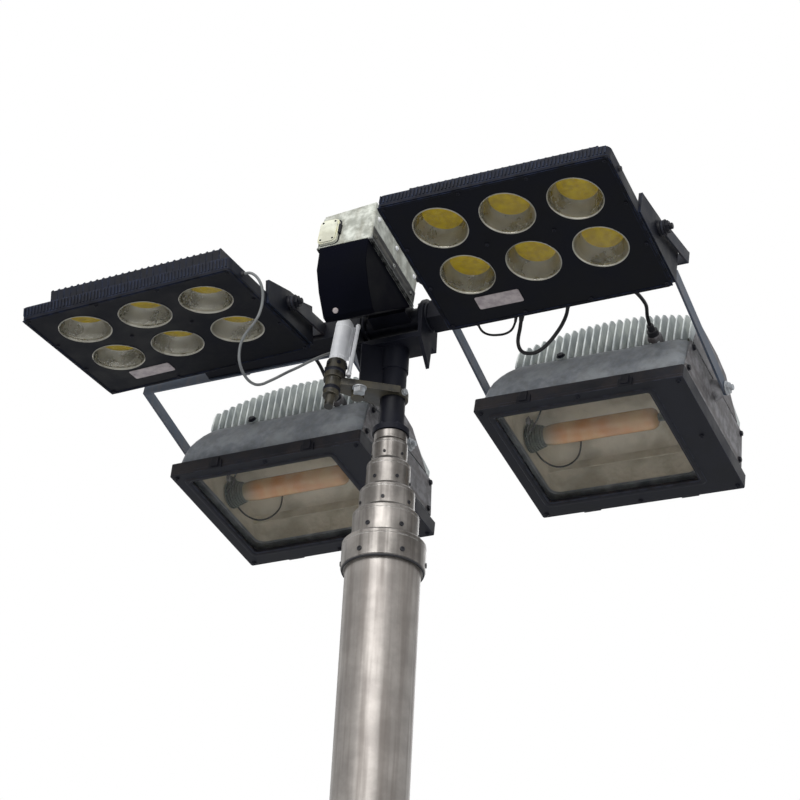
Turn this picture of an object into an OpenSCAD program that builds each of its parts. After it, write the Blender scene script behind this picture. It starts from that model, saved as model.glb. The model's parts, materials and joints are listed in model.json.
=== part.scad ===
// Mobile light tower: retracted telescopic mast with a tilting four-lamp head.
// Frame: origin on the bottom face of the base flange, on the mast axis, +Z up.
// The lamps' working side faces -Y when the head is level.

/* [Mast] */
// Outer diameter of the fixed base tube
base_tube_d = 156; // [152:1:162]
// Height of the top face of the base collar
base_top_z = 2519; // [2300:1:2700]
// Diameter of the base flange
flange_d = 300; // [280:5:340]
// Thickness of the base flange
flange_t = 16; // [12:1:20]
// Pitch circle of the flange bolts
flange_pcd = 250; // [235:5:255]
// Diameter of the flange bolt holes
flange_hole_d = 18; // [14:1:20]
// Number of flange bolts
flange_bolts = 8; // [6:1:8]
// Wall of the moving tubes
tube_wall = 4; // [3:0.5:5]

/* [Neck] */
// Outer diameter of the black neck
neck_d = 54; // [48:1:56]
// Height of the neck from its flange to the fork
neck_h = 196; // [180:1:210]
// Distance between the outer faces of the fork cheeks
fork_w = 156; // [150:1:160]
// Height of the tilt axis above the fork plate
fork_rise = 55; // [52:1:80]

/* [Head] */
// Tilt of the head at rest, degrees below level
head_tilt = 78.3; // [70:0.1:85]
// Side of the square cross arm
arm_side = 50; // [40:1:50]
// Overall length of the cross arm
arm_len = 940; // [900:5:960]
// Width of the flat bar that the lamp stirrups are bent from
bar_w = 30; // [25:1:36]

/* [LED lamps] */
// Distance of the right LED lamp from the middle
led_right_x = 408; // [400:1:420]
// Distance of the left LED lamp from the middle
led_left_x = 424; // [415:1:430]
// Offset of the LED pivots from the tilt axis, fore and aft
led_pivot_y = -51; // [-56:1:-46]
// Height of the LED pivots above the tilt axis
led_pivot_z = 163; // [160:1:170]
// Width of an LED lamp
led_w = 496; // [480:1:500]
// Height of an LED lamp
led_h = 378; // [370:1:385]
// Spacing of the lenses along the lamp
lens_dx = 145; // [140:1:148]
// Spacing of the two rows of lenses
lens_dz = 140; // [134:1:142]
// Diameter of a lens
lens_d = 118; // [110:1:122]
// Tilt of the right LED lamp in its stirrup
led_right_tilt = 0; // [-5:0.1:5]
// Tilt of the left LED lamp in its stirrup
led_left_tilt = 15.6; // [10:0.1:17]
// Turn of the left LED stirrup on its bolt
led_left_skew = 2.1; // [0:0.1:4]

/* [Halide lamps] */
// Distance of the right halide lamp from the middle
halide_right_x = 368; // [364:1:374]
// Distance of the left halide lamp from the middle
halide_left_x = 380; // [374:1:386]
// Offset of the halide pivots from the tilt axis, fore and aft
halide_pivot_y = -31; // [-36:1:-26]
// Height of the halide pivots above the tilt axis
halide_pivot_z = -345; // [-360:1:-335]
// Width of a halide front frame
frame_w = 474; // [460:1:480]
// Height of a halide front frame
frame_h = 402; // [395:1:410]
// Tilt of the right halide lamp in its stirrup
halide_right_tilt = 2.6; // [0:0.1:6]
// Tilt of the left halide lamp in its stirrup
halide_left_tilt = 6.4; // [4:0.1:10]
// Turn of the right halide stirrup on its bolt
halide_right_skew = -1.3; // [-3:0.1:1]

/* [Hidden] */
$fn = 64;

// Moving tubes, from stage 2 to stage 6: outer diameter, collar diameter, top of the collar.
stage_d = [128, 106, 84, 64, 46];
collar_d = [138, 116, 92, 75, 70];
collar_h = [66, 53, 63, 50, 20];
gap = 1;
run = 0.6;
base_wall = 5;
base_collar_d = 174;
base_collar_h = 64;
tube_foot_z = 60;
foot_step = 26;
piston_h = 40;

function stage_top(i) = i < 0 ? base_top_z : stage_top(i - 1) + gap + collar_h[i];
function stage_foot(i) = tube_foot_z + foot_step * i;
function inner_d(i) = i < 0 ? base_tube_d - 2 * base_wall : stage_d[i] - 2 * tube_wall;

neck_z = stage_top(4);
neck_flange_t = 12;
fork_z = neck_z + neck_flange_t + neck_h;
fork_t = 12;
cheek_t = 8;
cheek_y = 40;
axis_z = fork_z + fork_t + fork_rise;
hub_d = 50;
hub_run = 0.1;
hub_len = fork_w + 12;

motor_x = -91;
motor_y = -90;
motor_d = 38;
motor_len = 124;
motor_drop = 131;
clamp_drop = 190;
web_turn = 223;
web_reach = 76;
web_t = 8;
web_foot = axis_z - clamp_drop + 16.5 - neck_z;

bar_t = 5;
bolt_d = 14;
led_arm_x = led_w / 2 + 14;
halide_arm_x = 256;
led_base_y = -8;
halide_left_base_y = -15;
halide_right_base_y = 8;

led_face_y = -52.5;
led_grid_z = 103;
led_low_z = led_grid_z - 217;
bezel_t = 6;
led_gland_z = 210;

halide_face_y = -110;
halide_mid_z = -10;
rim_depth = 32;
glass_left = 37;
glass_right = 87;
glass_top = 36;
glass_bottom = 51;

// ---- places ----

module head_place() {
    translate([0, 0, axis_z])
    rotate([head_tilt, 0, 0])
    children();
}

module led_stirrup_place(side, skew) {
    head_place()
    translate([side > 0 ? led_right_x : -led_left_x, led_pivot_y, 0])
    rotate([0, 0, skew])
    children();
}

module led_place(side, skew, tilt) {
    led_stirrup_place(side, skew)
    translate([0, 0, led_pivot_z])
    rotate([tilt, 0, 0])
    children();
}

module halide_stirrup_place(side) {
    head_place()
    translate([side > 0 ? halide_right_x : -halide_left_x, halide_pivot_y, 0])
    rotate([0, 0, side > 0 ? halide_right_skew : 0])
    children();
}

module halide_place(side) {
    halide_stirrup_place(side)
    translate([0, 0, halide_pivot_z])
    rotate([side > 0 ? halide_right_tilt : halide_left_tilt, 0, 0])
    children();
}

// ---- shared shapes ----

module tube(d_out, d_in, h) {
    difference() {
        cylinder(d = d_out, h = h);
        translate([0, 0, -1])
        cylinder(d = d_in, h = h + 2);
    }
}

module rod_x(d, x0, x1) {
    translate([x0, 0, 0])
    rotate([0, 90, 0])
    cylinder(d = d, h = x1 - x0);
}

module block(x0, x1, y0, y1, z0, z1) {
    translate([x0, y0, z0])
    cube([x1 - x0, y1 - y0, z1 - z0]);
}

module slab_y(x0, x1, z0, z1, r, y0, y1) {
    // Plate with rounded corners, standing across Y.
    translate([0, y1, 0])
    rotate([90, 0, 0])
    linear_extrude(y1 - y0)
    union() {
        translate([x0 + r, z0])
        square([x1 - x0 - 2 * r, z1 - z0]);
        translate([x0, z0 + r])
        square([x1 - x0, z1 - z0 - 2 * r]);
        for (x = [x0 + r, x1 - r])
        for (z = [z0 + r, z1 - r])
        translate([x, z])
        circle(r = r);
    }
}

// ---- mast ----

module base_flange() {
    color([0.55, 0.56, 0.57])
    difference() {
        union() {
            cylinder(d = flange_d, h = flange_t);
            for (a = [0 : 90 : 270])
            rotate([0, 0, a + 22.5])
            flange_rib();
        }
        translate([0, 0, 4])
        cylinder(d = base_tube_d, h = 200);
        for (i = [0 : flange_bolts - 1])
        rotate([0, 0, i * 360 / flange_bolts])
        translate([flange_pcd / 2, 0, -1])
        cylinder(d = flange_hole_d, h = flange_t + 2);
    }
}

module flange_rib() {
    rib_t = 8;
    translate([base_tube_d / 2 - 2, rib_t / 2, flange_t - 1])
    rotate([90, 0, 0])
    linear_extrude(rib_t)
    polygon([[0, 0], [62, 0], [62, 12], [14, 110], [0, 110]]);
}

module base_tube() {
    color([0.80, 0.80, 0.80])
    translate([0, 0, 4])
    tube(base_tube_d, inner_d(-1), base_top_z - base_collar_h + 20 - 4);
}

module base_collar() {
    // The tube stands 20 mm into a counterbore in the collar.
    color([0.74, 0.73, 0.72])
    translate([0, 0, base_top_z - base_collar_h])
    difference() {
        cylinder(d = base_collar_d, h = base_collar_h);
        translate([0, 0, -1])
        cylinder(d = base_tube_d, h = 21);
        translate([0, 0, -1])
        cylinder(d = stage_d[0] + run, h = base_collar_h + 2);
    }
}

module stage_tube(i) {
    foot = stage_foot(i);
    top = i < 4 ? stage_top(i) - collar_h[i] + 20 : stage_top(i) - 12;
    color([0.80, 0.80, 0.80])
    translate([0, 0, foot])
    difference() {
        union() {
            cylinder(d = stage_d[i], h = top - foot);
            cylinder(d = inner_d(i - 1) - run, h = piston_h);
        }
        translate([0, 0, -1])
        cylinder(d = inner_d(i), h = top - foot + 2);
    }
}

module stage_collar(i) {
    z0 = stage_top(i) - collar_h[i];
    color([0.74, 0.73, 0.72])
    translate([0, 0, z0])
    difference() {
        cylinder(d = collar_d[i], h = collar_h[i]);
        translate([0, 0, -1])
        cylinder(d = stage_d[i], h = 21);
        translate([0, 0, -1])
        cylinder(d = stage_d[i + 1] + run, h = collar_h[i] + 2);
    }
}

module stage_6_cap() {
    z0 = stage_top(4) - collar_h[4];
    color([0.62, 0.61, 0.58])
    translate([0, 0, z0])
    difference() {
        cylinder(d = collar_d[4], h = collar_h[4]);
        translate([0, 0, -1])
        cylinder(d = stage_d[4], h = 9);
    }
}

// ---- neck and tilt drive ----

module neck_post() {
    color([0.08, 0.08, 0.10])
    translate([0, 0, neck_z])
    union() {
        cylinder(d = 78, h = neck_flange_t);
        cylinder(d = neck_d, h = neck_flange_t + neck_h);
        translate([0, 0, neck_flange_t + neck_h - 55])
        cylinder(d = 60, h = 55);
        // Web plate between the neck and the tilt motor.
        rotate([0, 0, web_turn])
        block(neck_d / 2 - 2, web_reach, -web_t / 2, web_t / 2, web_foot, neck_flange_t + neck_h - 0.5);
    }
}

module cheek(x0) {
    difference() {
        translate([x0, 0, 0])
        rotate([90, 0, 90])
        linear_extrude(cheek_t)
        union() {
            translate([-cheek_y, fork_z])
            square([2 * cheek_y, fork_t + fork_rise]);
            translate([0, axis_z])
            circle(r = cheek_y);
            polygon([[-cheek_y, fork_z + 1], [8, fork_z - 56], [16, fork_z + 1]]);
        }
        translate([0, 0, axis_z])
        rod_x(hub_d + hub_run, x0 - 1, x0 + cheek_t + 1);
    }
}

module tilt_fork() {
    color([0.08, 0.08, 0.10])
    union() {
        block(-fork_w / 2, fork_w / 2, -cheek_y, cheek_y, fork_z, fork_z + fork_t);
        cheek(-fork_w / 2);
        cheek(fork_w / 2 - cheek_t);
    }
}

module motor_place() {
    // Foot of the tilt motor, beside and in front of the neck, leaning back a little.
    translate([motor_x, motor_y, axis_z - motor_drop])
    rotate([-12, 0, 0])
    children();
}

module tilt_gearbox() {
    // Gear case under the motor, held by a plate clamped round the neck.
    plate_t = 16;
    color([0.22, 0.21, 0.16])
    union() {
        motor_place()
        translate([0, 0, -48])
        cylinder(d = 44, h = 48);
        motor_place()
        translate([0, 0, -92])
        cylinder(d = 34, h = 50);
        motor_place()
        translate([0, 0, -120])
        cylinder(d = 20, h = 40);
        translate([0, 0, axis_z - clamp_drop])
        difference() {
            linear_extrude(plate_t)
            union() {
                circle(d = neck_d + 12);
                polygon([[motor_x - 12, motor_y + 4], [motor_x + 20, motor_y - 12], [30, -26], [-30, 26]]);
            }
            translate([0, 0, -1])
            cylinder(d = neck_d, h = plate_t + 2);
        }
        translate([-54, -58, axis_z - clamp_drop - 16])
        cylinder(d = 28, h = 24);
    }
}

module tilt_motor() {
    // Motor with the bracket that carries its conduit.
    color([0.82, 0.82, 0.84])
    motor_place()
    union() {
        cylinder(d = motor_d, h = motor_len);
        rotate([0, 0, 34])
        block(17, 23.5, -2, 2, 16, 112);
    }
}

module motor_conduit() {
    color([0.70, 0.70, 0.72])
    translate([motor_x + 24, motor_y + 16, axis_z - motor_drop])
    rotate([-12, 0, 0])
    translate([0, 0, -30])
    cylinder(d = 9, h = motor_len + 22);
}

// ---- tilting head ----

module cross_arm() {
    half = arm_side / 2;
    color([0.09, 0.09, 0.11])
    head_place()
    union() {
        rod_x(hub_d, -hub_len / 2 - 1, hub_len / 2 + 1);
        for (s = [-1, 1])
        translate([s * (hub_len / 2 + arm_len / 2) / 2, 0, 0])
        cube([arm_len / 2 - hub_len / 2, arm_side, arm_side], center = true);
        block(-44, 44, -20, 20, 15, 50);
        arm_gland([400, -24, 0], [90, 0, 0], 16, 9.5);
        arm_gland([290, -24, -12], [90, 0, 0], 14, 9.5);
        arm_gland([277, -24, -12], [90, 0, 0], 9, 7.5);
        arm_gland([196, -24, 0], [90, 0, 0], 9, 7.5);
        arm_gland([-127, -24, 3], [90, 0, 0], 12, 9.5);
        arm_gland([-228, 9, -24], [180, 0, 0], 14, 9.5);
        arm_gland([arm_len / 2 - 1, 0, 0], [0, 90, 0], 14, 9.5);
    }
}

module arm_gland(place, turn, d, h) {
    translate(place)
    rotate(turn)
    cylinder(d = d, h = h);
}

box_half = 62;
cover_half = 57;
box_low = 50;
box_high = 270;

module head_box() {
    // Pale shell, open to the front, with its back and sides.
    color([0.80, 0.80, 0.76])
    head_place()
    union() {
        difference() {
            slab_y(-box_half, box_half, box_low, box_high, 6, -10, 76);
            slab_y(-box_half + 4, box_half - 4, box_low + 4, box_high - 4, 4, -11, 72);
        }
        box_lid();
    }
}

module box_lid() {
    // Sloped lid on the back of the shell.
    inset = 3;
    translate([0, 0, box_low + inset])
    linear_extrude(box_high - box_low - 2 * inset)
    polygon([[-box_half + inset, 75], [box_half - inset, 75], [box_half - inset, 96], [-box_half + inset, 84]]);
}

module box_cover() {
    // Black front cover with a sloped hood and a sloped underside.
    color([0.07, 0.07, 0.09])
    head_place()
    translate([-cover_half, 0, 0])
    rotate([90, 0, 90])
    linear_extrude(2 * cover_half)
    polygon([[-10, box_low], [-10, box_high], [-24, box_high - 2], [-68, box_high - 6],
             [-110, box_high - 31], [-150, box_high - 68], [-150, box_high - 82]]);
}

module stirrup(half_x, z_base, z_pivot, y_base) {
    // Flat bar bent to a U: base on the cross arm, arms leaning to the pivots.
    up = z_pivot > 0 ? 1 : -1;
    z0 = min(z_base, z_base + up * bar_t);
    w = bar_w / 2;
    difference() {
        union() {
            block(-half_x - bar_t / 2, half_x + bar_t / 2, y_base - w, y_base + w, z0, z0 + bar_t);
            for (s = [-1, 1])
            translate([s * half_x, 0, 0])
            rotate([90, 0, 90])
            translate([0, 0, -bar_t / 2])
            linear_extrude(bar_t)
            union() {
                polygon([[y_base - w, z_base], [y_base + w, z_base], [w, z_pivot], [-w, z_pivot]]);
                translate([0, z_pivot])
                circle(d = bar_w);
            }
        }
        for (s = [-1, 1])
        translate([s * half_x, 0, z_pivot])
        rod_x(bolt_d + 0.6, -bar_t, bar_t);
    }
}

module led_stirrup(side, skew) {
    color([0.10, 0.11, 0.14])
    led_stirrup_place(side, skew)
    stirrup(led_arm_x, arm_side / 2, led_pivot_z, led_base_y - led_pivot_y);
}

module halide_stirrup(side) {
    base_y = side > 0 ? halide_right_base_y : halide_left_base_y;
    color([0.16, 0.20, 0.25])
    halide_stirrup_place(side)
    stirrup(halide_arm_x, -arm_side / 2, halide_pivot_z, base_y - halide_pivot_y);
}

// ---- LED lamp, origin on its pivot axis, facing -Y ----

module pivot_bolts(half_body, half_arm) {
    for (s = [-1, 1]) {
        rod_x(bolt_d, min(s * half_body, s * (half_arm + 16)), max(s * half_body, s * (half_arm + 16)));
        rod_x(30, min(s * (half_arm + 3.5), s * (half_arm + 12)),
              max(s * (half_arm + 3.5), s * (half_arm + 12)));
        rod_x(34, min(s * half_body, s * (half_arm - 3.5)), max(s * half_body, s * (half_arm - 3.5)));
    }
}

module led_body() {
    back = led_face_y + bezel_t;
    color([0.07, 0.07, 0.09])
    difference() {
        union() {
            slab_y(-led_w / 2, led_w / 2, led_low_z, led_low_z + led_h, 14, back, back + 24);
            slab_y(-led_w / 2 + 30, led_w / 2 - 30, led_low_z + 36, led_low_z + led_h - 24, 10,
                   back + 23, back + 40);
            for (i = [-13 : 13])
            block(i * 15.5 - 1.5, i * 15.5 + 1.5, back + 39, back + 79.5,
                  led_low_z + 60, led_low_z + led_h - 40);
            for (s = [-1, 1])
            block(min(s * 200, s * (led_w / 2 - 2)), max(s * 200, s * (led_w / 2 - 2)),
                  back + 20, 25, -26, 26);
            for (s = [-1, 1])
            translate([s * (led_w / 2), 0, 0])
            rotate([90, 0, 90])
            translate([0, 0, -4])
            linear_extrude(8)
            polygon([[-46, 97], [8, 97], [30, 0], [34, -60], [46, -106], [-46, -111]]);
            pivot_bolts(led_w / 2 - 3, led_arm_x);
            translate([0, back + 10, led_gland_z])
            rod_x(12, led_w / 2 - 1, led_w / 2 + 6);
        }
        lens_wells(back - 1, 20, lens_d - 8);
    }
}

module lens_wells(y0, depth, d) {
    for (ix = [-1 : 1])
    for (iz = [-0.5, 0.5])
    translate([ix * lens_dx, y0, led_grid_z + iz * lens_dz])
    rotate([-90, 0, 0])
    cylinder(d = d, h = depth);
}

module led_bezel() {
    color([0.06, 0.06, 0.07])
    difference() {
        slab_y(-led_w / 2, led_w / 2, led_low_z, led_low_z + led_h, 14,
               led_face_y, led_face_y + bezel_t);
        lens_wells(led_face_y - 1, bezel_t + 2, lens_d);
    }
}

module led_lenses() {
    color([0.75, 0.72, 0.55])
    lens_wells(led_face_y + 1, bezel_t - 1, lens_d);
}

// ---- halide lamp, origin on its pivot axis, facing -Y ----

module halide_frame() {
    x0 = -frame_w / 2;
    x1 = frame_w / 2;
    z0 = halide_mid_z - frame_h / 2;
    z1 = halide_mid_z + frame_h / 2;
    color([0.10, 0.10, 0.12])
    difference() {
        block(x0, x1, halide_face_y, halide_face_y + rim_depth, z0, z1);
        block(x0 + glass_left, x1 - glass_right, halide_face_y - 1, halide_face_y + 9,
              z0 + glass_bottom, z1 - glass_top);
        block(x0 + glass_left - 8, x1 - glass_right + 8, halide_face_y + 8,
              halide_face_y + rim_depth + 1, z0 + glass_bottom - 8, z1 - glass_top + 8);
    }
}

module halide_glass() {
    x0 = -frame_w / 2 + glass_left - 8;
    x1 = frame_w / 2 - glass_right + 8;
    z0 = halide_mid_z - frame_h / 2 + glass_bottom - 8;
    z1 = halide_mid_z + frame_h / 2 - glass_top + 8;
    color([0.7, 0.7, 0.65, 0.4])
    block(x0, x1, halide_face_y + 8, halide_face_y + 13, z0, z1);
}

house_x0 = -170;
house_x1 = 230;
rib_end = 150;
rib_foot_y = 27;
rib_count = 24;

function crown(x) = 131 - 0.00085 * pow(x - 50, 2);

module halide_housing() {
    back = halide_face_y + rim_depth;
    color([0.55, 0.56, 0.58])
    difference() {
        union() {
            slab_y(-229, house_x1 + 2, -205, 183.5, 26, back, back + 28);
            slab_y(-224, house_x1 + 1, -202, 183, 30, back + 27, back + 54);
            slab_y(-214, house_x1 + 1, -195, 177, 36, back + 53, 0);
            slab_y(-199, house_x1, -186, 169, 36, -1, 16);
            slab_y(-184, house_x1, -176, 161, 34, 15, rib_foot_y);
            rib_block();
            for (i = [0 : rib_count - 1])
            halide_rib(house_x0 + i * (house_x1 - house_x0 - 3) / (rib_count - 1));
            pivot_boss();
            gland_place()
            translate([0, 0, 120])
            cylinder(d = 32, h = gland_foot_r - 120);
        }
        slab_y(-202, 143, -170, 152, 24, back - 1, 0);
        slab_y(-132, 134, -130, 124, 20, -1, 30);
    }
}

module rib_block() {
    // Core of the finned part, with a crowned back.
    translate([0, 0, -100])
    linear_extrude(220)
    polygon(concat(
        [[house_x1, rib_foot_y - 1], [house_x0, rib_foot_y - 1]],
        [for (i = [0 : 12])
            let (x = house_x0 + i * (house_x1 - house_x0) / 12) [x, 0.45 * crown(x) + 14]]
    ));
}

module halide_rib(x) {
    // Deep behind the gland end, shallower towards the far end.
    top = crown(x);
    translate([x, 0, 0])
    rotate([90, 0, 90])
    linear_extrude(3)
    polygon([
        [rib_foot_y - 2, -168], [rib_foot_y + 14, -168], [top - 34, -92], [top, -10],
        [top, rib_end - 22], [top - 8, rib_end - 8], [rib_foot_y + 8, rib_end + 4],
        [rib_foot_y - 2, rib_end + 4]
    ]);
}

module pivot_boss() {
    pivot_end = halide_arm_x + 16;
    rod_x(34, house_x1 - 2, halide_arm_x - 3.5);
    rod_x(34, -halide_arm_x + 3.5, -190);
    rod_x(bolt_d, house_x1 - 2, pivot_end);
    rod_x(bolt_d, -pivot_end, -190);
    for (s = [-1, 1])
    rod_x(32, min(s * (halide_arm_x + 3.5), s * (halide_arm_x + 13)),
          max(s * (halide_arm_x + 3.5), s * (halide_arm_x + 13)));
}

gland_x = 150;
gland_lean = 15;
gland_foot_r = 166;
gland_tip_r = 192;

module gland_place() {
    translate([gland_x, 0, 0])
    rotate([-gland_lean, 0, 0])
    children();
}

module halide_gland() {
    // Black cable gland at the foot of the ribs; its axis passes through the pivot.
    color([0.05, 0.05, 0.06])
    gland_place()
    union() {
        translate([0, 0, gland_foot_r])
        cylinder(d = 24, h = 12);
        translate([0, 0, gland_foot_r + 11])
        cylinder(d = 15, h = gland_tip_r - gland_foot_r - 11);
    }
}

module halide_reflector() {
    // Two-step trough inside the housing, open to the glass.
    color([0.85, 0.85, 0.80])
    difference() {
        union() {
            slab_y(-201.7, 142.7, -169.7, 151.7, 23, -76, -0.3);
            slab_y(-131.7, 133.7, -129.7, 123.7, 19, -1, 29.7);
        }
        slab_y(-199, 140, -167, 149, 21, -77, -3);
        slab_y(-129, 131, -127, 121, 17, -4, 27);
    }
}

bulb_y = -42;

module halide_bulb() {
    // Tubular lamp in a ribbed holder at one end and a clip at the other.
    color([0.85, 0.75, 0.60])
    translate([0, bulb_y, halide_mid_z])
    union() {
        rod_x(60, -150, 92);
        rod_x(40, -166, 100);
        rod_x(66, -196, -176);
        rod_x(56, -177, -165);
        rod_x(16, 99, 122);
        block(112, 118, -10, 27 - bulb_y, -14, 14);
        block(-192, -184, 30, -3 - bulb_y, -14, 14);
    }
}

// ---- leads ----

// Places on the route of the service loop under the cross arm.
loop_d = 8;
loop_route = [
    [400, -34, 0], [400, -48, 0], [400, -62, 0], [399, -74, 0], [395, -88, -1], [389, -103, -2], [380, -119, -3],
    [368, -135, -5], [353, -149, -7], [336, -156, -9], [319, -154, -10], [304, -145, -11],
    [295, -131, -12], [290, -114, -12], [289, -96, -12], [290, -77, -12], [290, -58, -12],
    [290, -34, -12]
];
thin_d = 5;
thin_route = [
    [196, -32, 0], [196, -42, 0], [198, -53, 0], [203, -64, 0], [210, -74, -1], [220, -82, -2],
    [232, -87, -3], [245, -89, -4], [257, -88, -6], [267, -83, -8], [273, -74, -10],
    [276, -62, -11], [277, -50, -12], [277, -41, -12], [277, -32, -12]
];
halide_right_route = [
    [519, 7, -156.4], [520, 9, -144], [523, 9, -130], [528, 6, -115], [534, 0, -98],
    [539, -8, -80], [542, -16, -62], [543, -22, -45], [541, -25, -28], [535, -24, -14],
    [525, -19, -5], [512, -11, -1], [498, -4, 0], [488, -1, 0], [479, 0, 0]
];
halide_left_route = [
    [-230, -2.9, -154.1], [-230, -1, -140], [-230, 2, -124], [-229, 5, -107], [-228, 7.5, -90],
    [-228, 9, -72], [-228, 9, -53], [-228, 9, -34]
];
grey_d = 6;
grey_route = [
    [-165.8, -133.3, 355.4], [-156, -133.6, 355], [-147, -137, 352], [-139, -144, 345],
    [-134.5, -153.5, 335.5], [-134, -164, 324.5], [-136.5, -176, 315], [-140, -192, 308],
    [-145, -209, 304], [-148, -228, 307], [-150, -247, 313], [-152, -266, 320],
    [-154, -285, 325], [-155, -305, 328], [-155, -325, 327], [-155, -343, 321], [-153, -358, 310],
    [-150, -367, 295], [-147, -368, 278], [-144, -361, 260], [-141, -346, 243], [-138, -327, 228],
    [-135, -306, 212], [-132, -284, 196], [-130, -261, 179], [-128, -238, 161], [-127, -215, 143],
    [-126, -191, 125], [-126, -167, 106], [-126, -143, 87], [-126, -119, 67], [-127, -95, 46],
    [-127, -72, 27], [-127, -50, 12], [-127, -34, 3]
];
lead_sides = 8;

function unit(v) = v / norm(v);
function along(p, i) = unit(p[min(i + 1, len(p) - 1)] - p[max(i - 1, 0)]);
function ring(p, i, d, ref) =
    let (t = along(p, i), u = unit(cross(t, ref)), v = cross(t, u))
    [for (k = [0 : lead_sides - 1])
        p[i] + d / 2 * (cos(k * 360 / lead_sides) * u + sin(k * 360 / lead_sides) * v)];

module lead(p, d, ref) {
    n = len(p);
    m = lead_sides;
    color([0.03, 0.03, 0.035])
    head_place()
    polyhedron(
        points = [for (i = [0 : n - 1]) each ring(p, i, d, ref)],
        faces = concat(
            [[for (k = [m - 1 : -1 : 0]) k]],
            [for (i = [0 : n - 2]) for (k = [0 : m - 1])
                [i * m + k, i * m + (k + 1) % m, (i + 1) * m + (k + 1) % m, (i + 1) * m + k]],
            [[for (k = [0 : m - 1]) (n - 1) * m + k]]
        )
    );
}

base_flange();
base_tube();
base_collar();
stage_tube(0);  // stage_2_tube
stage_collar(0);  // stage_2_collar
stage_tube(1);  // stage_3_tube
stage_collar(1);  // stage_3_collar
stage_tube(2);  // stage_4_tube
stage_collar(2);  // stage_4_collar
stage_tube(3);  // stage_5_tube
stage_collar(3);  // stage_5_collar
stage_tube(4);  // stage_6_tube
stage_6_cap();
neck_post();
tilt_fork();
tilt_gearbox();
tilt_motor();
motor_conduit();
cross_arm();
head_box();
box_cover();
led_stirrup(-1, led_left_skew);  // led_stirrup_left
led_stirrup(1, 0);  // led_stirrup_right
halide_stirrup(-1);  // halide_stirrup_left
halide_stirrup(1);  // halide_stirrup_right
led_place(-1, led_left_skew, led_left_tilt) led_body();  // led_body_left
led_place(-1, led_left_skew, led_left_tilt) led_bezel();  // led_bezel_left
led_place(-1, led_left_skew, led_left_tilt) led_lenses();  // led_lenses_left
led_place(1, 0, led_right_tilt) led_body();  // led_body_right
led_place(1, 0, led_right_tilt) led_bezel();  // led_bezel_right
led_place(1, 0, led_right_tilt) led_lenses();  // led_lenses_right
halide_place(-1) halide_frame();  // halide_frame_left
halide_place(-1) halide_glass();  // halide_glass_left
halide_place(-1) halide_housing();  // halide_housing_left
halide_place(-1) halide_reflector();  // halide_reflector_left
halide_place(-1) halide_bulb();  // halide_bulb_left
halide_place(1) halide_frame();  // halide_frame_right
halide_place(1) halide_glass();  // halide_glass_right
halide_place(1) halide_housing();  // halide_housing_right
halide_place(1) halide_reflector();  // halide_reflector_right
halide_place(1) halide_bulb();  // halide_bulb_right
halide_place(-1) halide_gland();  // halide_gland_left
halide_place(1) halide_gland();  // halide_gland_right
lead(loop_route, loop_d, [0, 0, 1]);  // loop_lead
lead(thin_route, thin_d, [0, 0, 1]);  // thin_lead
lead(halide_left_route, loop_d, [1, 0, 0]);  // halide_lead_left
lead(halide_right_route, loop_d, [0, 1, 0]);  // halide_lead_right
lead(grey_route, grey_d, [1, 0, 0]);  // grey_lead
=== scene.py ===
# %% [markdown]
# # A mobile light tower
# This lesson dresses a telescopic floodlight mast. The mast is six tubes that slide into each other,
# drawn here fully lowered. On top sits a tilting cross arm with two flat LED lamps above it and two deep
# halide lamps below it. The engineering model already holds every size and every joint, so each
# step reads its places from that model and adds the surface, edges and small hardware.

# %% Load the engineering model
import json
from math import cos, pi, radians, sin

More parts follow.
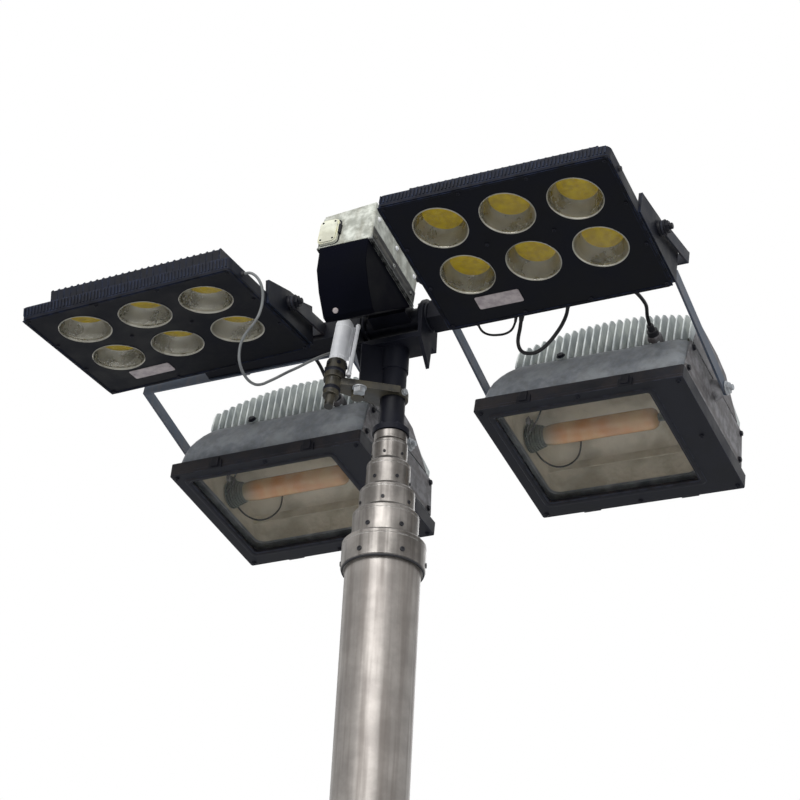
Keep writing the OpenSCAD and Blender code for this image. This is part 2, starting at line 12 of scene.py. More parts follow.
import bmesh
import bpy
from mathutils import Matrix, Vector
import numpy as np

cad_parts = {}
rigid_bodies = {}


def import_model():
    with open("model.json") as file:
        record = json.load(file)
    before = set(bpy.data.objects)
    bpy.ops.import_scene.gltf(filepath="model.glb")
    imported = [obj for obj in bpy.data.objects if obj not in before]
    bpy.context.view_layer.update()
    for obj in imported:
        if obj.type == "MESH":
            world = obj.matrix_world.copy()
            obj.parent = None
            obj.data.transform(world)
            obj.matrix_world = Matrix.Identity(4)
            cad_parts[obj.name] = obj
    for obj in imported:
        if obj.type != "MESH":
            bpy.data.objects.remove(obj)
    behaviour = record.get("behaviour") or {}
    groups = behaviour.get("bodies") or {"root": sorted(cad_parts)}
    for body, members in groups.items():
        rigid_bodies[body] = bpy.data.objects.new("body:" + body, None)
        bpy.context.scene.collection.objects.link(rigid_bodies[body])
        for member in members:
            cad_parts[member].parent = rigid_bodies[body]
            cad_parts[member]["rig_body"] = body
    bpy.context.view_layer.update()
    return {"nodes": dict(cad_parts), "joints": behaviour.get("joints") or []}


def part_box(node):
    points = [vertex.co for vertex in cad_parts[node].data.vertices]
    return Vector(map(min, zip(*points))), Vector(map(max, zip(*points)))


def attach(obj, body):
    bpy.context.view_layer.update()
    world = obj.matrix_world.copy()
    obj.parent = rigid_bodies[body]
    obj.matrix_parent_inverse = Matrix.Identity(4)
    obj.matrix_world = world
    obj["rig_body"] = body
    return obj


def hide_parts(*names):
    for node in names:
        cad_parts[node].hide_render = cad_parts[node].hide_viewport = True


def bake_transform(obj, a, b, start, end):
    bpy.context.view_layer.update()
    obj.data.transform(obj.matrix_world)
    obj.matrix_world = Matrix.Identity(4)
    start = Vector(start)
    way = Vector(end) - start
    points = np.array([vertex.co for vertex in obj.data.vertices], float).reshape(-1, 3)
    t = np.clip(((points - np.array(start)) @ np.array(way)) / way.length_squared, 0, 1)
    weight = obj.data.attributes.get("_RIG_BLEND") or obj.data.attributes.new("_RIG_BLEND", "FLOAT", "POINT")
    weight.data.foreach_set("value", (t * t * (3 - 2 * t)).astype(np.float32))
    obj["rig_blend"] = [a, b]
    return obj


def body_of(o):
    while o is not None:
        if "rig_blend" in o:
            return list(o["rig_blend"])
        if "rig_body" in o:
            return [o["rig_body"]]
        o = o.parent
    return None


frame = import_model()
joints = {j["name"]: j for j in frame["joints"]}

# %% [markdown]
# ## The camera
# The view is from low down in front of the mast and a little to its right, through a long lens. A long
# lens keeps the far lamps nearly as large as the near ones. The camera is placed from the height of
# the head's tilt axis, turned by azimuth and elevation, and rolled slightly as a hand-held camera is.

# %% Camera
axis_height = joints["head_tilt"]["pos_m"][2]


def camera_turn(azimuth, elevation, roll):
    """Rotation whose third column points back towards the viewer."""
    a, e, t = radians(azimuth), radians(elevation), radians(roll)
    back = Vector((sin(a) * cos(e), -cos(a) * cos(e), sin(e)))
    right = Vector((cos(a), sin(a), 0))
    up = back.cross(right)
    side = cos(t) * right + sin(t) * up
    top = -sin(t) * right + cos(t) * up
    return Matrix((side, top, back)).transposed().to_4x4()


camera_data = bpy.data.cameras.new("long lens")
camera_data.sensor_width = 36
camera_data.lens = 117.66
camera = bpy.data.objects.new("camera", camera_data)
camera.matrix_world = Matrix.Translation((2.1768, -4.2735, axis_height - 2.9329)) @ camera_turn(
    26.81, -29.79, 3.24
)
bpy.context.scene.collection.objects.link(camera)
bpy.context.scene.camera = camera
print("camera height above the ground: %.3f m" % camera.location.z)

# %% [markdown]
# ## Places on the head
# Everything on the head was drawn upright and then tipped forward about the cross arm. The same turn
# here lets each lamp be modelled square to itself: its pivot is the origin and its glass faces -Y.

# %% Places on the head
MM = 0.001
head_tilt = 78.3
head_place = Matrix.Translation((0, 0, axis_height)) @ Matrix.Rotation(radians(head_tilt), 4, "X")


def lamp_place(joint, tilt, skew=0.0):
    """Where a lamp's own axes stand, from the hinge it turns on."""
    return (
        Matrix.Translation(joints[joint]["pos_m"])
        @ Matrix.Rotation(radians(head_tilt), 4, "X")
        @ Matrix.Rotation(radians(skew), 4, "Z")
        @ Matrix.Rotation(radians(tilt), 4, "X")
    )


led_places = {
    "left": lamp_place("led_tilt_left", 15.6, 2.1),
    "right": lamp_place("led_tilt_right", 0.0),
}
halide_places = {
    "left": lamp_place("halide_tilt_left", 6.4),
    "right": lamp_place("halide_tilt_right", 2.6, -1.3),
}
for side in ("left", "right"):
    print(side, "LED pivot at", [round(v, 3) for v in led_places[side].translation])

# %% [markdown]
# ## Leads as swept tubes
# A lead is a round rubber sheath on one smooth curve. It could be a curve with a bevel, but a mesh tube
# keeps an exact path that the frame can measure. The route's points are joined by a Catmull-Rom
# curve, and at each place a ring of points is set square to the run, carried along without twist.

# %% Swept tube
def smooth_route(points, steps=4):
    """Catmull-Rom curve through the points, in the same order."""
    p = [Vector(q) for q in points]
    ends = [2 * p[0] - p[1]] + p + [2 * p[-1] - p[-2]]
    route = []
    for a, b, c, d in zip(ends, ends[1:], ends[2:], ends[3:]):
        for k in range(steps):
            t = k / steps
            route.append(
                0.5
                * (2 * b + (c - a) * t + (2 * a - 5 * b + 4 * c - d) * t**2 + (3 * b - a - 3 * c + d) * t**3)
            )
    return route + [p[-1]]


def new_object(name, bm, place=Matrix.Identity(4), smooth=40):
    """Turn worked geometry into an object, smooth across edges flatter than the given angle."""
    bmesh.ops.recalc_face_normals(bm, faces=bm.faces)
    mesh = bpy.data.meshes.new(name)
    bm.to_mesh(mesh)
    bm.free()
    mesh.polygons.foreach_set("use_smooth", [True] * len(mesh.polygons))
    mesh.set_sharp_from_angle(angle=radians(smooth))
    obj = bpy.data.objects.new(name, mesh)
    obj.matrix_world = place
    bpy.context.scene.collection.objects.link(obj)
    return obj


def skin(bm, rings, caps=True, closed=False):
    """Join equal rings of points with faces, and close the two ends or the loop."""
    rows = [[bm.verts.new(p) for p in ring] for ring in rings]
    pairs = list(zip(rows, rows[1:])) + ([(rows[-1], rows[0])] if closed else [])
    for a, b in pairs:
        for i in range(len(a)):
            j = (i + 1) % len(a)
            bm.faces.new((a[i], a[j], b[j], b[i]))
    if caps and not closed:
        bm.faces.new(list(reversed(rows[0])))
        bm.faces.new(rows[-1])
    return rows


def swept(bm, route, diameter, sides=12):
    """Round tube along a route of points."""
    rings = []
    out = None
    for i, point in enumerate(route):
        run = (route[min(i + 1, len(route) - 1)] - route[max(i - 1, 0)]).normalized()
        if out is None:
            out = run.orthogonal()
        out = (out - run * out.dot(run)).normalized()
        across = run.cross(out)
        rings.append(
            [
                point + diameter / 2 * (cos(2 * pi * k / sides) * out + sin(2 * pi * k / sides) * across)
                for k in range(sides)
            ]
        )
    skin(bm, rings)


# %% [markdown]
# ## The five leads
# Each lead runs from the arm to its lamp, or back to the arm, so both of its ends are on the machine.
# The heavy loop and the thin lead stay with the arm. The other three bend between arm and lamp,
# which stretches them as the lamp tilts, by up to a half. The grey one swings out in a slack bow. Its
# bend is measured only to the middle of the run, so its arm end comes away when the lamp tilts.

# %% Leads
lead_routes = {
    "loop_lead": (8, "head", [
        (400, -34, 0), (400, -48, 0), (400, -62, 0), (399, -74, 0), (395, -88, -1), (389, -103, -2),
        (380, -119, -3), (368, -135, -5), (353, -149, -7), (336, -156, -9), (319, -154, -10),
        (304, -145, -11), (295, -131, -12), (290, -114, -12), (289, -96, -12), (290, -77, -12),
        (290, -58, -12), (290, -34, -12),
    ]),
    "thin_lead": (5, "head", [
        (196, -32, 0), (196, -42, 0), (198, -53, 0), (203, -64, 0), (210, -74, -1), (220, -82, -2),
        (232, -87, -3), (245, -89, -4), (257, -88, -6), (267, -83, -8), (273, -74, -10),
        (276, -62, -11), (277, -50, -12), (277, -41, -12), (277, -32, -12),
    ]),
    "halide_lead_right": (8, "halide_lamp_right", [
        (519, 7, -156.4), (520, 9, -144), (523, 9, -130), (528, 6, -115), (534, 0, -98),
        (539, -8, -80), (542, -16, -62), (543, -22, -45), (541, -25, -28), (535, -24, -14),
        (525, -19, -5), (512, -11, -1), (498, -4, 0), (488, -1, 0), (479, 0, 0),
    ]),
    "halide_lead_left": (8, "halide_lamp_left", [
        (-230, -2.9, -154.1), (-230, -1, -140), (-230, 2, -124), (-229, 5, -107), (-228, 7.5, -90),
        (-228, 9, -72), (-228, 9, -53), (-228, 9, -34),
    ]),
    "grey_lead": (6, "led_lamp_left", [
        (-165.8, -133.3, 355.4), (-156, -133.6, 355), (-147, -137, 352), (-139, -144, 345),
        (-134.5, -153.5, 335.5), (-134, -164, 324.5), (-136.5, -176, 315), (-140, -192, 308),
        (-145, -209, 304), (-148, -228, 307), (-150, -247, 313), (-152, -266, 320),
        (-154, -285, 325), (-155, -305, 328), (-155, -325, 327), (-155, -343, 321),
        (-153, -358, 310), (-150, -367, 295), (-147, -368, 278), (-144, -361, 260),
        (-141, -346, 243), (-138, -327, 228), (-135, -306, 212), (-132, -284, 196),
        (-130, -261, 179), (-128, -238, 161), (-127, -215, 143), (-126, -191, 125),
        (-126, -167, 106), (-126, -143, 87), (-126, -119, 67), (-127, -95, 46), (-127, -72, 27),
        (-127, -50, 12), (-127, -34, 3),
    ]),
}
leads = {}
for lead_name, (lead_d, lamp_body, places) in lead_routes.items():
    route = smooth_route([head_place @ (Vector(p) * MM) for p in places])
    bm = bmesh.new()
    swept(bm, route, lead_d * MM)
    lead = new_object(lead_name + "_sheath", bm)
    if lamp_body == "head":
        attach(lead, "head")
    else:
        far = route[-1] if lamp_body != "led_lamp_left" else route[len(route) // 2]
        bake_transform(lead, lamp_body, "head", start=route[0], end=far)
    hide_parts(lead_name)
    leads[lead_name] = lead

# %% [markdown]
# ## Floor and light
# A pale floor stands for the studio. The light is soft and plain: one wide lamp high in front, a
# weaker one on the right and one behind. The world gives an even grey from all round, while
# the eye, mirrors and glass see it as plain white, which is what a paper backdrop looks like.

# %% Floor and light
def add(tree, kind, inputs=None, **settings):
    """Add a shader node, set its options, and give or link its inputs."""
    node = tree.nodes.new("ShaderNode" + kind)
    for key, value in settings.items():
        setattr(node, key, value)
    for key, value in (inputs or {}).items():
        if isinstance(value, bpy.types.NodeSocket):
            tree.links.new(value, node.inputs[key])
        else:
            node.inputs[key].default_value = value
    return node


def seen_directly(tree):
    """1 for rays from the eye, from a mirror or through glass, 0 for light that soaks in."""
    path = add(tree, "LightPath")
    both = add(tree, "Math", {0: path.outputs["Is Camera Ray"], 1: path.outputs["Is Glossy Ray"]},
               operation="ADD")
    return add(tree, "Math", {0: both.outputs[0], 1: path.outputs["Is Transmission Ray"]},
               operation="ADD", use_clamp=True).outputs[0]


scene = bpy.context.scene
scene.view_settings.view_transform = "Standard"
world = bpy.data.worlds.new("studio")
scene.world = world
world.use_nodes = True
sky = world.node_tree
sky.nodes.clear()
soft_grey = add(sky, "Background", {"Color": (0.92, 0.96, 1.0, 1), "Strength": 0.42})
paper_white = add(sky, "Background", {"Color": (1, 1, 1, 1), "Strength": 1.0})
chosen = add(sky, "MixShader", {0: seen_directly(sky), 1: soft_grey.outputs[0], 2: paper_white.outputs[0]})
add(sky, "OutputWorld", {0: chosen.outputs[0]})

floor_material = bpy.data.materials.new("pale floor")
floor_material.use_nodes = True
floor_nodes = floor_material.node_tree
floor_shader = floor_nodes.nodes["Principled BSDF"]
floor_shader.inputs["Roughness"].default_value = 0.9
floor_cloud = add(floor_nodes, "TexNoise", {"Scale": 1.5, "Detail": 3})
floor_colour = add(floor_nodes, "MixRGB", {0: floor_cloud.outputs[0], 1: (0.84, 0.84, 0.84, 1),
                                           2: (0.88, 0.88, 0.88, 1)})
floor_nodes.links.new(floor_colour.outputs[0], floor_shader.inputs["Base Color"])

bm = bmesh.new()
bmesh.ops.create_circle(bm, cap_ends=True, segments=96, radius=9)
floor = new_object("floor", bm, Matrix.Translation((0, 0, -0.0005)))
floor.data.materials.append(floor_material)


def soft_lamp(name, place, power, width, height):
    """Large lamp aimed at the head, hidden from the camera itself."""
    data = bpy.data.lights.new(name, "AREA")
    data.energy = power
    data.shape = "RECTANGLE"
    data.size = width
    data.size_y = height
    lamp = bpy.data.objects.new(name, data)
    lamp.location = place
    aim = Vector((0, 0, axis_height - 0.2)) - lamp.location
    lamp.rotation_euler = aim.to_track_quat("-Z", "Y").to_euler()
    lamp.visible_camera = False
    scene.collection.objects.link(lamp)
    return lamp


soft_lamp("key", (0.9, -4.4, axis_height + 1.5), 200, 4.4, 2.2)
soft_lamp("fill", (4.4, -1.0, axis_height - 0.4), 12, 3.0, 3.0)
soft_lamp("back", (-1.5, 4.5, axis_height + 1.5), 45, 3.0, 3.0)

# %% [markdown]
# ## Shared surface effects
# Used outdoors, this machine carries the same few marks on every part: cloudy shade changes, a
# paler colour on the edges (bare metal on most finishes, a painted highlight on some), dust on faces
# that look up, runs left by rain, and the fine skin of castings or drawn tube. Each effect is one
# node group with named inputs, so a finish only sets its values.

# %% Shared surface effects
def effect(name, inputs, outputs):
    """Empty node group with named inputs and outputs."""
    group = bpy.data.node_groups.new(name, "ShaderNodeTree")
    for label, kind, value in inputs:
        socket = group.interface.new_socket(label, in_out="INPUT", socket_type="NodeSocket" + kind)
        if value is not None:
            socket.default_value = value
    for label, kind in outputs:
        group.interface.new_socket(label, in_out="OUTPUT", socket_type="NodeSocket" + kind)
    return group, group.nodes.new("NodeGroupInput").outputs, group.nodes.new("NodeGroupOutput").inputs


def ramp(tree, value, low, high):
    """0 below low, 1 above high, smooth between."""
    return add(tree, "MapRange", {"Value": value, "From Min": low, "From Max": high},
               interpolation_type="SMOOTHSTEP").outputs[0]


clouds, g_in, g_out = effect(
    "cloudy shade", [("Where", "Vector", None), ("Scale", "Float", 8.0), ("Low", "Float", 0.35),
                     ("High", "Float", 0.65)], [("Mask", "Float")])
cloud_noise = add(clouds, "TexNoise", {"Vector": g_in["Where"], "Scale": g_in["Scale"], "Detail": 5.0,
                                       "Roughness": 0.6})
clouds.links.new(ramp(clouds, cloud_noise.outputs[0], g_in["Low"], g_in["High"]), g_out["Mask"])

# Edge mask: the paler edge colour it brings is bare metal on most finishes and a painted highlight along the
# edges on the lamp castings, halide frame, ribs and junction pad.
edges, g_in, g_out = effect(
    "edge wear and sheen", [("Where", "Vector", None), ("Radius", "Float", 0.002), ("Amount", "Float", 0.5)],
    [("Mask", "Float")])
rounded = add(edges, "Bevel", {"Radius": g_in["Radius"]}, samples=4)
flat = add(edges, "NewGeometry")
likeness = add(edges, "VectorMath", {0: rounded.outputs[0], 1: flat.outputs["Normal"]},
               operation="DOT_PRODUCT")
corner = ramp(edges, likeness.outputs["Value"], 0.995, 0.86)
edge_patches = add(edges, "TexNoise", {"Vector": g_in["Where"], "Scale": 60.0, "Detail": 4.0})
edge_patch_mask = ramp(edges, edge_patches.outputs[0], 0.36, 0.6)
wear_and_sheen = add(edges, "Math", {0: corner, 1: edge_patch_mask}, operation="MULTIPLY")
wear_and_sheen = add(edges, "Math", {0: wear_and_sheen.outputs[0], 1: g_in["Amount"]}, operation="MULTIPLY")
edges.links.new(wear_and_sheen.outputs[0], g_out["Mask"])

dust, g_in, g_out = effect(
    "settled dust", [("Where", "Vector", None), ("Facing", "Vector", None), ("Up", "Vector", (0, 0, 1)),
                     ("Amount", "Float", 0.4)], [("Mask", "Float")])
looks_up = add(dust, "VectorMath", {0: g_in["Facing"], 1: g_in["Up"]}, operation="DOT_PRODUCT")
upward = ramp(dust, looks_up.outputs["Value"], 0.1, 0.95)
drift = add(dust, "TexNoise", {"Vector": g_in["Where"], "Scale": 26.0, "Detail": 6.0, "Roughness": 0.65})
settled = add(dust, "Math", {0: upward, 1: ramp(dust, drift.outputs[0], 0.3, 0.7)}, operation="MULTIPLY")
settled = add(dust, "Math", {0: settled.outputs[0], 1: g_in["Amount"]}, operation="MULTIPLY")
dust.links.new(settled.outputs[0], g_out["Mask"])

runs, g_in, g_out = effect(
    "rain runs", [("Where", "Vector", None), ("Spacing", "Float", 60.0), ("Length", "Float", 4.0)],
    [("Mask", "Float"), ("Height", "Float")])
spaced = add(runs, "CombineXYZ", {"X": g_in["Spacing"], "Y": g_in["Spacing"], "Z": g_in["Length"]})
line_places = add(runs, "VectorMath", {0: g_in["Where"], 1: spaced.outputs[0]}, operation="MULTIPLY")
line_noise = add(runs, "TexNoise", {"Vector": line_places.outputs[0], "Scale": 1.0, "Detail": 4.0})
runs.links.new(ramp(runs, line_noise.outputs[0], 0.42, 0.68), g_out["Mask"])
runs.links.new(line_noise.outputs[0], g_out["Height"])

casting, g_in, g_out = effect(
    "cast skin", [("Where", "Vector", None), ("Scale", "Float", 350.0), ("Pits", "Float", 0.5)],
    [("Height", "Float")])
grain = add(casting, "TexNoise", {"Vector": g_in["Where"], "Scale": g_in["Scale"], "Detail": 3.0})
pit_cells = add(casting, "TexVoronoi", {"Vector": g_in["Where"], "Scale": g_in["Scale"]})
pit_depth = add(casting, "Math", {0: pit_cells.outputs["Distance"], 1: g_in["Pits"]}, operation="MULTIPLY")
skin_height = add(casting, "Math", {0: grain.outputs[0], 1: pit_depth.outputs[0]}, operation="ADD")
casting.links.new(skin_height.outputs[0], g_out["Height"])

dents, g_in, g_out = effect(
    "hammered dimples", [("Where", "Vector", None), ("Scale", "Float", 90.0)],
    [("Height", "Float"), ("Mask", "Float")])
dimple = add(dents, "TexVoronoi", {"Vector": g_in["Where"], "Scale": g_in["Scale"]})
dents.links.new(dimple.outputs["Distance"], g_out["Height"])
dents.links.new(ramp(dents, dimple.outputs["Distance"], 0.1, 0.7), g_out["Mask"])
print("effects:", [g.name for g in (clouds, edges, dust, runs, casting, dents)])

# %% [markdown]
# ## Painted and cast finishes
# Nearly every part is paint, plastic or bare casting over a plain colour. One function builds such a
# finish from the shared effects: two close shades mixed in clouds, dust on top, a paler colour on the
# edges, which is bare metal or a paler paint on most finishes and a painted highlight on some, and a
# cast or rolled skin as bump. Colours are written as on a colour card, from 0 to 255, and changed to
# the linear values that the shader needs.

# %% Painted and cast finishes
def card(r, g, b):
    """Colour-card value to the linear colour the shader wants."""
    return tuple(((c / 255 + 0.055) / 1.055) ** 2.4 if c > 10 else c / 255 / 12.92 for c in (r, g, b)) + (1,)


def use_effect(tree, group, inputs):
    node = tree.nodes.new("ShaderNodeGroup")
    node.node_tree = group
    for key, value in inputs.items():
        if isinstance(value, bpy.types.NodeSocket):
            tree.links.new(value, node.inputs[key])
        else:
            node.inputs[key].default_value = value
    return node.outputs


def mixed(tree, mask, one, two):
    """One colour where the mask is 0, the other where it is 1."""
    return add(tree, "MixRGB", {0: mask, 1: one, 2: two}).outputs[0]


def blank_finish(name):
    """New material with its shader, its object coordinates and its own face direction."""
    material = bpy.data.materials.new(name)
    material.use_nodes = True
    tree = material.node_tree
    places = add(tree, "TexCoord")
    return material, tree, tree.nodes["Principled BSDF"], places.outputs["Object"], places.outputs["Normal"]


def painted(name, colour, second, rough=(0.45, 0.65), metal=0.0, wear_and_sheen=(120, 124, 130), wear_and_sheen_amount=0.5,
            dusty=(150, 142, 128), dust_amount=0.25, cloud=9.0, skin_scale=350.0, skin=0.15, up=(0, 0, 1),
            radius=0.0015, streaks=0.0, shine=0.5):
    material, tree, shader, where, facing = blank_finish(name)
    patches = use_effect(tree, clouds, {"Where": where, "Scale": cloud})["Mask"]
    shade = mixed(tree, patches, card(*colour), card(*second))
    if streaks:
        lines = use_effect(tree, runs, {"Where": where})["Mask"]
        faint = add(tree, "Math", {0: lines, 1: streaks}, operation="MULTIPLY").outputs[0]
        shade = mixed(tree, faint, shade, card(*dusty))
    settled = use_effect(tree, dust, {"Where": where, "Facing": facing, "Up": up,
                                      "Amount": dust_amount})["Mask"]
    shade = mixed(tree, settled, shade, card(*dusty))
    # Edge colour: bare metal on most finishes, a painted highlight along the edges on some.
    edge_mask = use_effect(tree, edges, {"Where": where, "Radius": radius, "Amount": wear_and_sheen_amount})["Mask"]
    shade = mixed(tree, edge_mask, shade, card(*wear_and_sheen))
    tree.links.new(shade, shader.inputs["Base Color"])
    gloss = add(tree, "MapRange", {"Value": patches, "To Min": rough[0], "To Max": rough[1]})
    tree.links.new(gloss.outputs[0], shader.inputs["Roughness"])
    shader.inputs["Metallic"].default_value = metal
    shader.inputs["Specular IOR Level"].default_value = shine
    height = use_effect(tree, casting, {"Where": where, "Scale": skin_scale})["Height"]
    bump = add(tree, "Bump", {"Height": height, "Strength": skin, "Distance": 0.001})
    tree.links.new(bump.outputs[0], shader.inputs["Normal"])
    return material


finishes = {
    "galvanised_steel": painted("galvanised steel", (150, 155, 160), (182, 186, 190), metal=0.5, cloud=40.0,
                                wear_and_sheen=(200, 202, 204), dusty=(120, 108, 92), streaks=0.3, skin_scale=160.0),
    "black_steel": painted("black steel", (9, 10, 18), (17, 19, 29), wear_and_sheen=(70, 74, 88), wear_and_sheen_amount=0.4,
                           dusty=(78, 74, 72), dust_amount=0.18, shine=0.18),
    "gearbox_casting": painted("oily gearbox casting", (24, 23, 19), (62, 57, 44), rough=(0.35, 0.6),
                               wear_and_sheen=(150, 142, 122), wear_and_sheen_amount=0.6, dusty=(96, 86, 66), cloud=24.0, skin=0.35),
    "bright_steel": painted("bright zinc steel", (236, 237, 240), (250, 250, 252), rough=(0.3, 0.45),
                            metal=0.05, wear_and_sheen=(240, 240, 240), dusty=(150, 142, 128), cloud=25.0, skin=0.05),
    "pale_shell": painted("weathered pale shell", (150, 152, 142), (218, 220, 210), rough=(0.5, 0.75),
                          wear_and_sheen=(96, 90, 72), wear_and_sheen_amount=0.7, dusty=(112, 104, 82), dust_amount=0.55, cloud=38.0,
                          streaks=0.4, skin=0.08),
    # The hood's near-black colour is painted shade: the underside of the box in shadow.
    "black_cover": painted("near-black hood in painted shade", (3, 4, 10), (7, 8, 17), rough=(0.6, 0.78),
                           wear_and_sheen=(52, 56, 66), wear_and_sheen_amount=0.3, dusty=(50, 50, 52), dust_amount=0.08, shine=0.03),
    "hood_flange": painted("scuffed hood flange", (8, 9, 12), (24, 25, 28), rough=(0.5, 0.7),
                           wear_and_sheen=(178, 180, 176), wear_and_sheen_amount=0.9, dusty=(130, 128, 116), dust_amount=0.3, cloud=60.0,
                           streaks=0.5, radius=0.005, shine=0.2),
    "halide_stirrup": painted("blue-grey stirrup", (50, 62, 80), (76, 88, 104), wear_and_sheen=(132, 118, 108),
                              wear_and_sheen_amount=0.7, dusty=(104, 92, 84), streaks=0.2, radius=0.002),
    "led_stirrup": painted("dark stirrup", (18, 21, 30), (34, 39, 50), wear_and_sheen=(98, 80, 78), wear_and_sheen_amount=0.6,
                           dusty=(70, 64, 64), streaks=0.2, radius=0.002, shine=0.25),
    # The bluish edge colours of the lamp casting, lamp front and halide frame are painted highlights along
    # the edges.
    "led_casting": painted("black lamp casting", (8, 10, 18), (17, 21, 33), wear_and_sheen=(60, 74, 108), wear_and_sheen_amount=0.6,
                           dusty=(70, 74, 84), dust_amount=0.25, skin=0.25, radius=0.002, up=(0, 1, 0),
                           shine=0.2),
    "led_bezel": painted("black lamp front", (5, 6, 12), (11, 13, 22), wear_and_sheen=(48, 60, 92), wear_and_sheen_amount=0.5,
                         dusty=(66, 66, 74), dust_amount=0.18, radius=0.002, up=(0, 0, 1), shine=0.12),
    "halide_frame": painted("charcoal lamp frame", (19, 20, 27), (35, 36, 43), wear_and_sheen=(78, 84, 106), wear_and_sheen_amount=0.55,
                            dusty=(70, 60, 52), dust_amount=0.28, radius=0.0025, up=(0, 0, 1), shine=0.2),
    "halide_casting": painted("grey lamp casting", (112, 116, 122), (152, 155, 158), rough=(0.5, 0.7),
                              wear_and_sheen=(206, 208, 206), wear_and_sheen_amount=0.75, dusty=(98, 92, 78), dust_amount=0.3,
                              cloud=18.0, skin=0.35, up=(0, 1, 0), streaks=0.2, shine=0.3),
    # The rib finish is a paler copy of the grey casting: painted light on the ribs, and its pale edges are a
    # painted highlight.
    "halide_rib": painted("cast rib in painted light", (178, 184, 184), (222, 226, 222), rough=(0.5, 0.7),
                          wear_and_sheen=(222, 224, 218), wear_and_sheen_amount=0.7, dusty=(112, 108, 92), dust_amount=0.25, cloud=26.0,
                          skin=0.3, up=(0, 1, 0), shine=0.3),
    # The side finish is a darker copy of the grey casting: painted shade on the lamp's side, mottled by
    # stains.
    "halide_side_shaded": painted("stained casting side in painted shade", (74, 72, 74), (146, 144, 146), rough=(0.45, 0.7),
                           wear_and_sheen=(186, 184, 182), wear_and_sheen_amount=0.6, dusty=(64, 54, 50), dust_amount=0.35, cloud=34.0,
                           skin=0.35, up=(0, 1, 0), streaks=0.5, shine=0.3),
    # The pad's yellowish edge colour is a painted highlight along its edges.
    "junction_pad": painted("pale junction pad", (198, 198, 182), (226, 226, 208), rough=(0.5, 0.7),
                            wear_and_sheen=(214, 204, 132), wear_and_sheen_amount=0.6, dusty=(150, 142, 110), dust_amount=0.3,
                            cloud=30.0,
                            skin=0.06, radius=0.003),
    # The fin root is near black: painted shade between the ribs, with dust over it.
    "fin_gap_shade": painted("fin root in painted shade", (38, 40, 36), (68, 68, 58), rough=(0.6, 0.8), wear_and_sheen=(112, 108, 94),
                       dusty=(66, 60, 46), dust_amount=0.6, cloud=22.0, up=(0, 1, 0), shine=0.2),
    "lead_rubber": painted("lead rubber", (14, 14, 17), (26, 26, 30), rough=(0.5, 0.7), wear_and_sheen=(60, 60, 64),
                           wear_and_sheen_amount=0.1, dusty=(96, 92, 84), skin=0.1, shine=0.3),
    "grey_cable": painted("grey cable sheath", (84, 86, 88), (112, 114, 114), wear_and_sheen=(140, 140, 136), wear_and_sheen_amount=0.1,
                          dusty=(120, 112, 96), skin=0.1),
    "gland_plastic": painted("gland plastic", (15, 15, 19), (28, 28, 34), wear_and_sheen=(80, 80, 86), wear_and_sheen_amount=0.3,
                             dusty=(90, 86, 80), skin=0.1, shine=0.4),
    "label_plate": painted("blank rating plate", (148, 138, 140), (178, 168, 168), rough=(0.35, 0.5),
                           wear_and_sheen=(96, 90, 90), dusty=(120, 112, 100), cloud=60.0, skin=0.03),
    "ceramic": painted("sooty ceramic holder", (48, 54, 50), (82, 86, 78), rough=(0.4, 0.7),
                       wear_and_sheen=(128, 128, 116), dusty=(70, 62, 48), cloud=40.0, skin=0.2),
}
print("painted finishes:", len(finishes))

# %% [markdown]
# ## Drawn aluminium for the mast
# The mast tubes are drawn and anodised: fine lines run along them, grease and rain leave brown runs,
# and the sheen is satin. Fully metallic would copy the white studio too hard, so the metal is
# mixed with its oxide, which keeps the warm silver and the soft light band down the tube.

# %% Drawn aluminium
# The run colour is grease on the tubes and partly painted shade on the collars.
def drawn_metal(name, colour, second, soil_and_shade, metal=0.65, rough=(0.4, 0.52), streak_share=0.4, coat=0.2):
    material, tree, shader, where, facing = blank_finish(name)
    patches = use_effect(tree, clouds, {"Where": where, "Scale": 14.0, "Low": 0.3, "High": 0.75})["Mask"]
    shade = mixed(tree, patches, card(*colour), card(*second))
    lines = use_effect(tree, runs, {"Where": where, "Spacing": 55.0, "Length": 2.2})
    drawn = use_effect(tree, runs, {"Where": where, "Spacing": 900.0, "Length": 6.0})
    share = add(tree, "Math", {0: lines["Mask"], 1: streak_share}, operation="MULTIPLY").outputs[0]
    shade = mixed(tree, share, shade, card(*soil_and_shade))
    edge_mask = use_effect(tree, edges, {"Where": where, "Radius": 0.0015, "Amount": 0.6})["Mask"]
    shade = mixed(tree, edge_mask, shade, card(226, 224, 220))
    tree.links.new(shade, shader.inputs["Base Color"])
    gloss = add(tree, "MapRange", {"Value": lines["Mask"], "To Min": rough[0], "To Max": rough[1]})
    tree.links.new(gloss.outputs[0], shader.inputs["Roughness"])
    shader.inputs["Metallic"].default_value = metal
    shader.inputs["Specular IOR Level"].default_value = 0.5
    shader.inputs["Coat Weight"].default_value = coat
    shader.inputs["Coat Roughness"].default_value = 0.42
    bump = add(tree, "Bump", {"Height": drawn["Height"], "Strength": 0.12, "Distance": 0.0005})
    tree.links.new(bump.outputs[0], shader.inputs["Normal"])
    return material


finishes["mast_aluminium"] = drawn_metal("drawn mast aluminium", (122, 117, 113), (148, 143, 138),
                                         (84, 75, 68))
# The collar finish is darker than the tube's, with heavier brown runs: painted shade under the head and on
# the collars' sides, over grease runs.
finishes["collar_aluminium"] = drawn_metal("turned collar aluminium in painted shade", (92, 88, 84), (144, 139, 134),
                                           (52, 45, 40), rough=(0.34, 0.48), streak_share=0.6, coat=0.3)

# %% [markdown]
# ## Glass, reflector and light sources
# The halide front is thin toughened glass with a film of dust. Real refraction through it would trap
# the light behind it, so most of it is simply open (Alpha) and only the rest is glass that
# shines. The reflector is hammered aluminium: round dimples spread the glare. The LED chips
# are discs of yellow phosphor at the bottom of smooth bright cups.

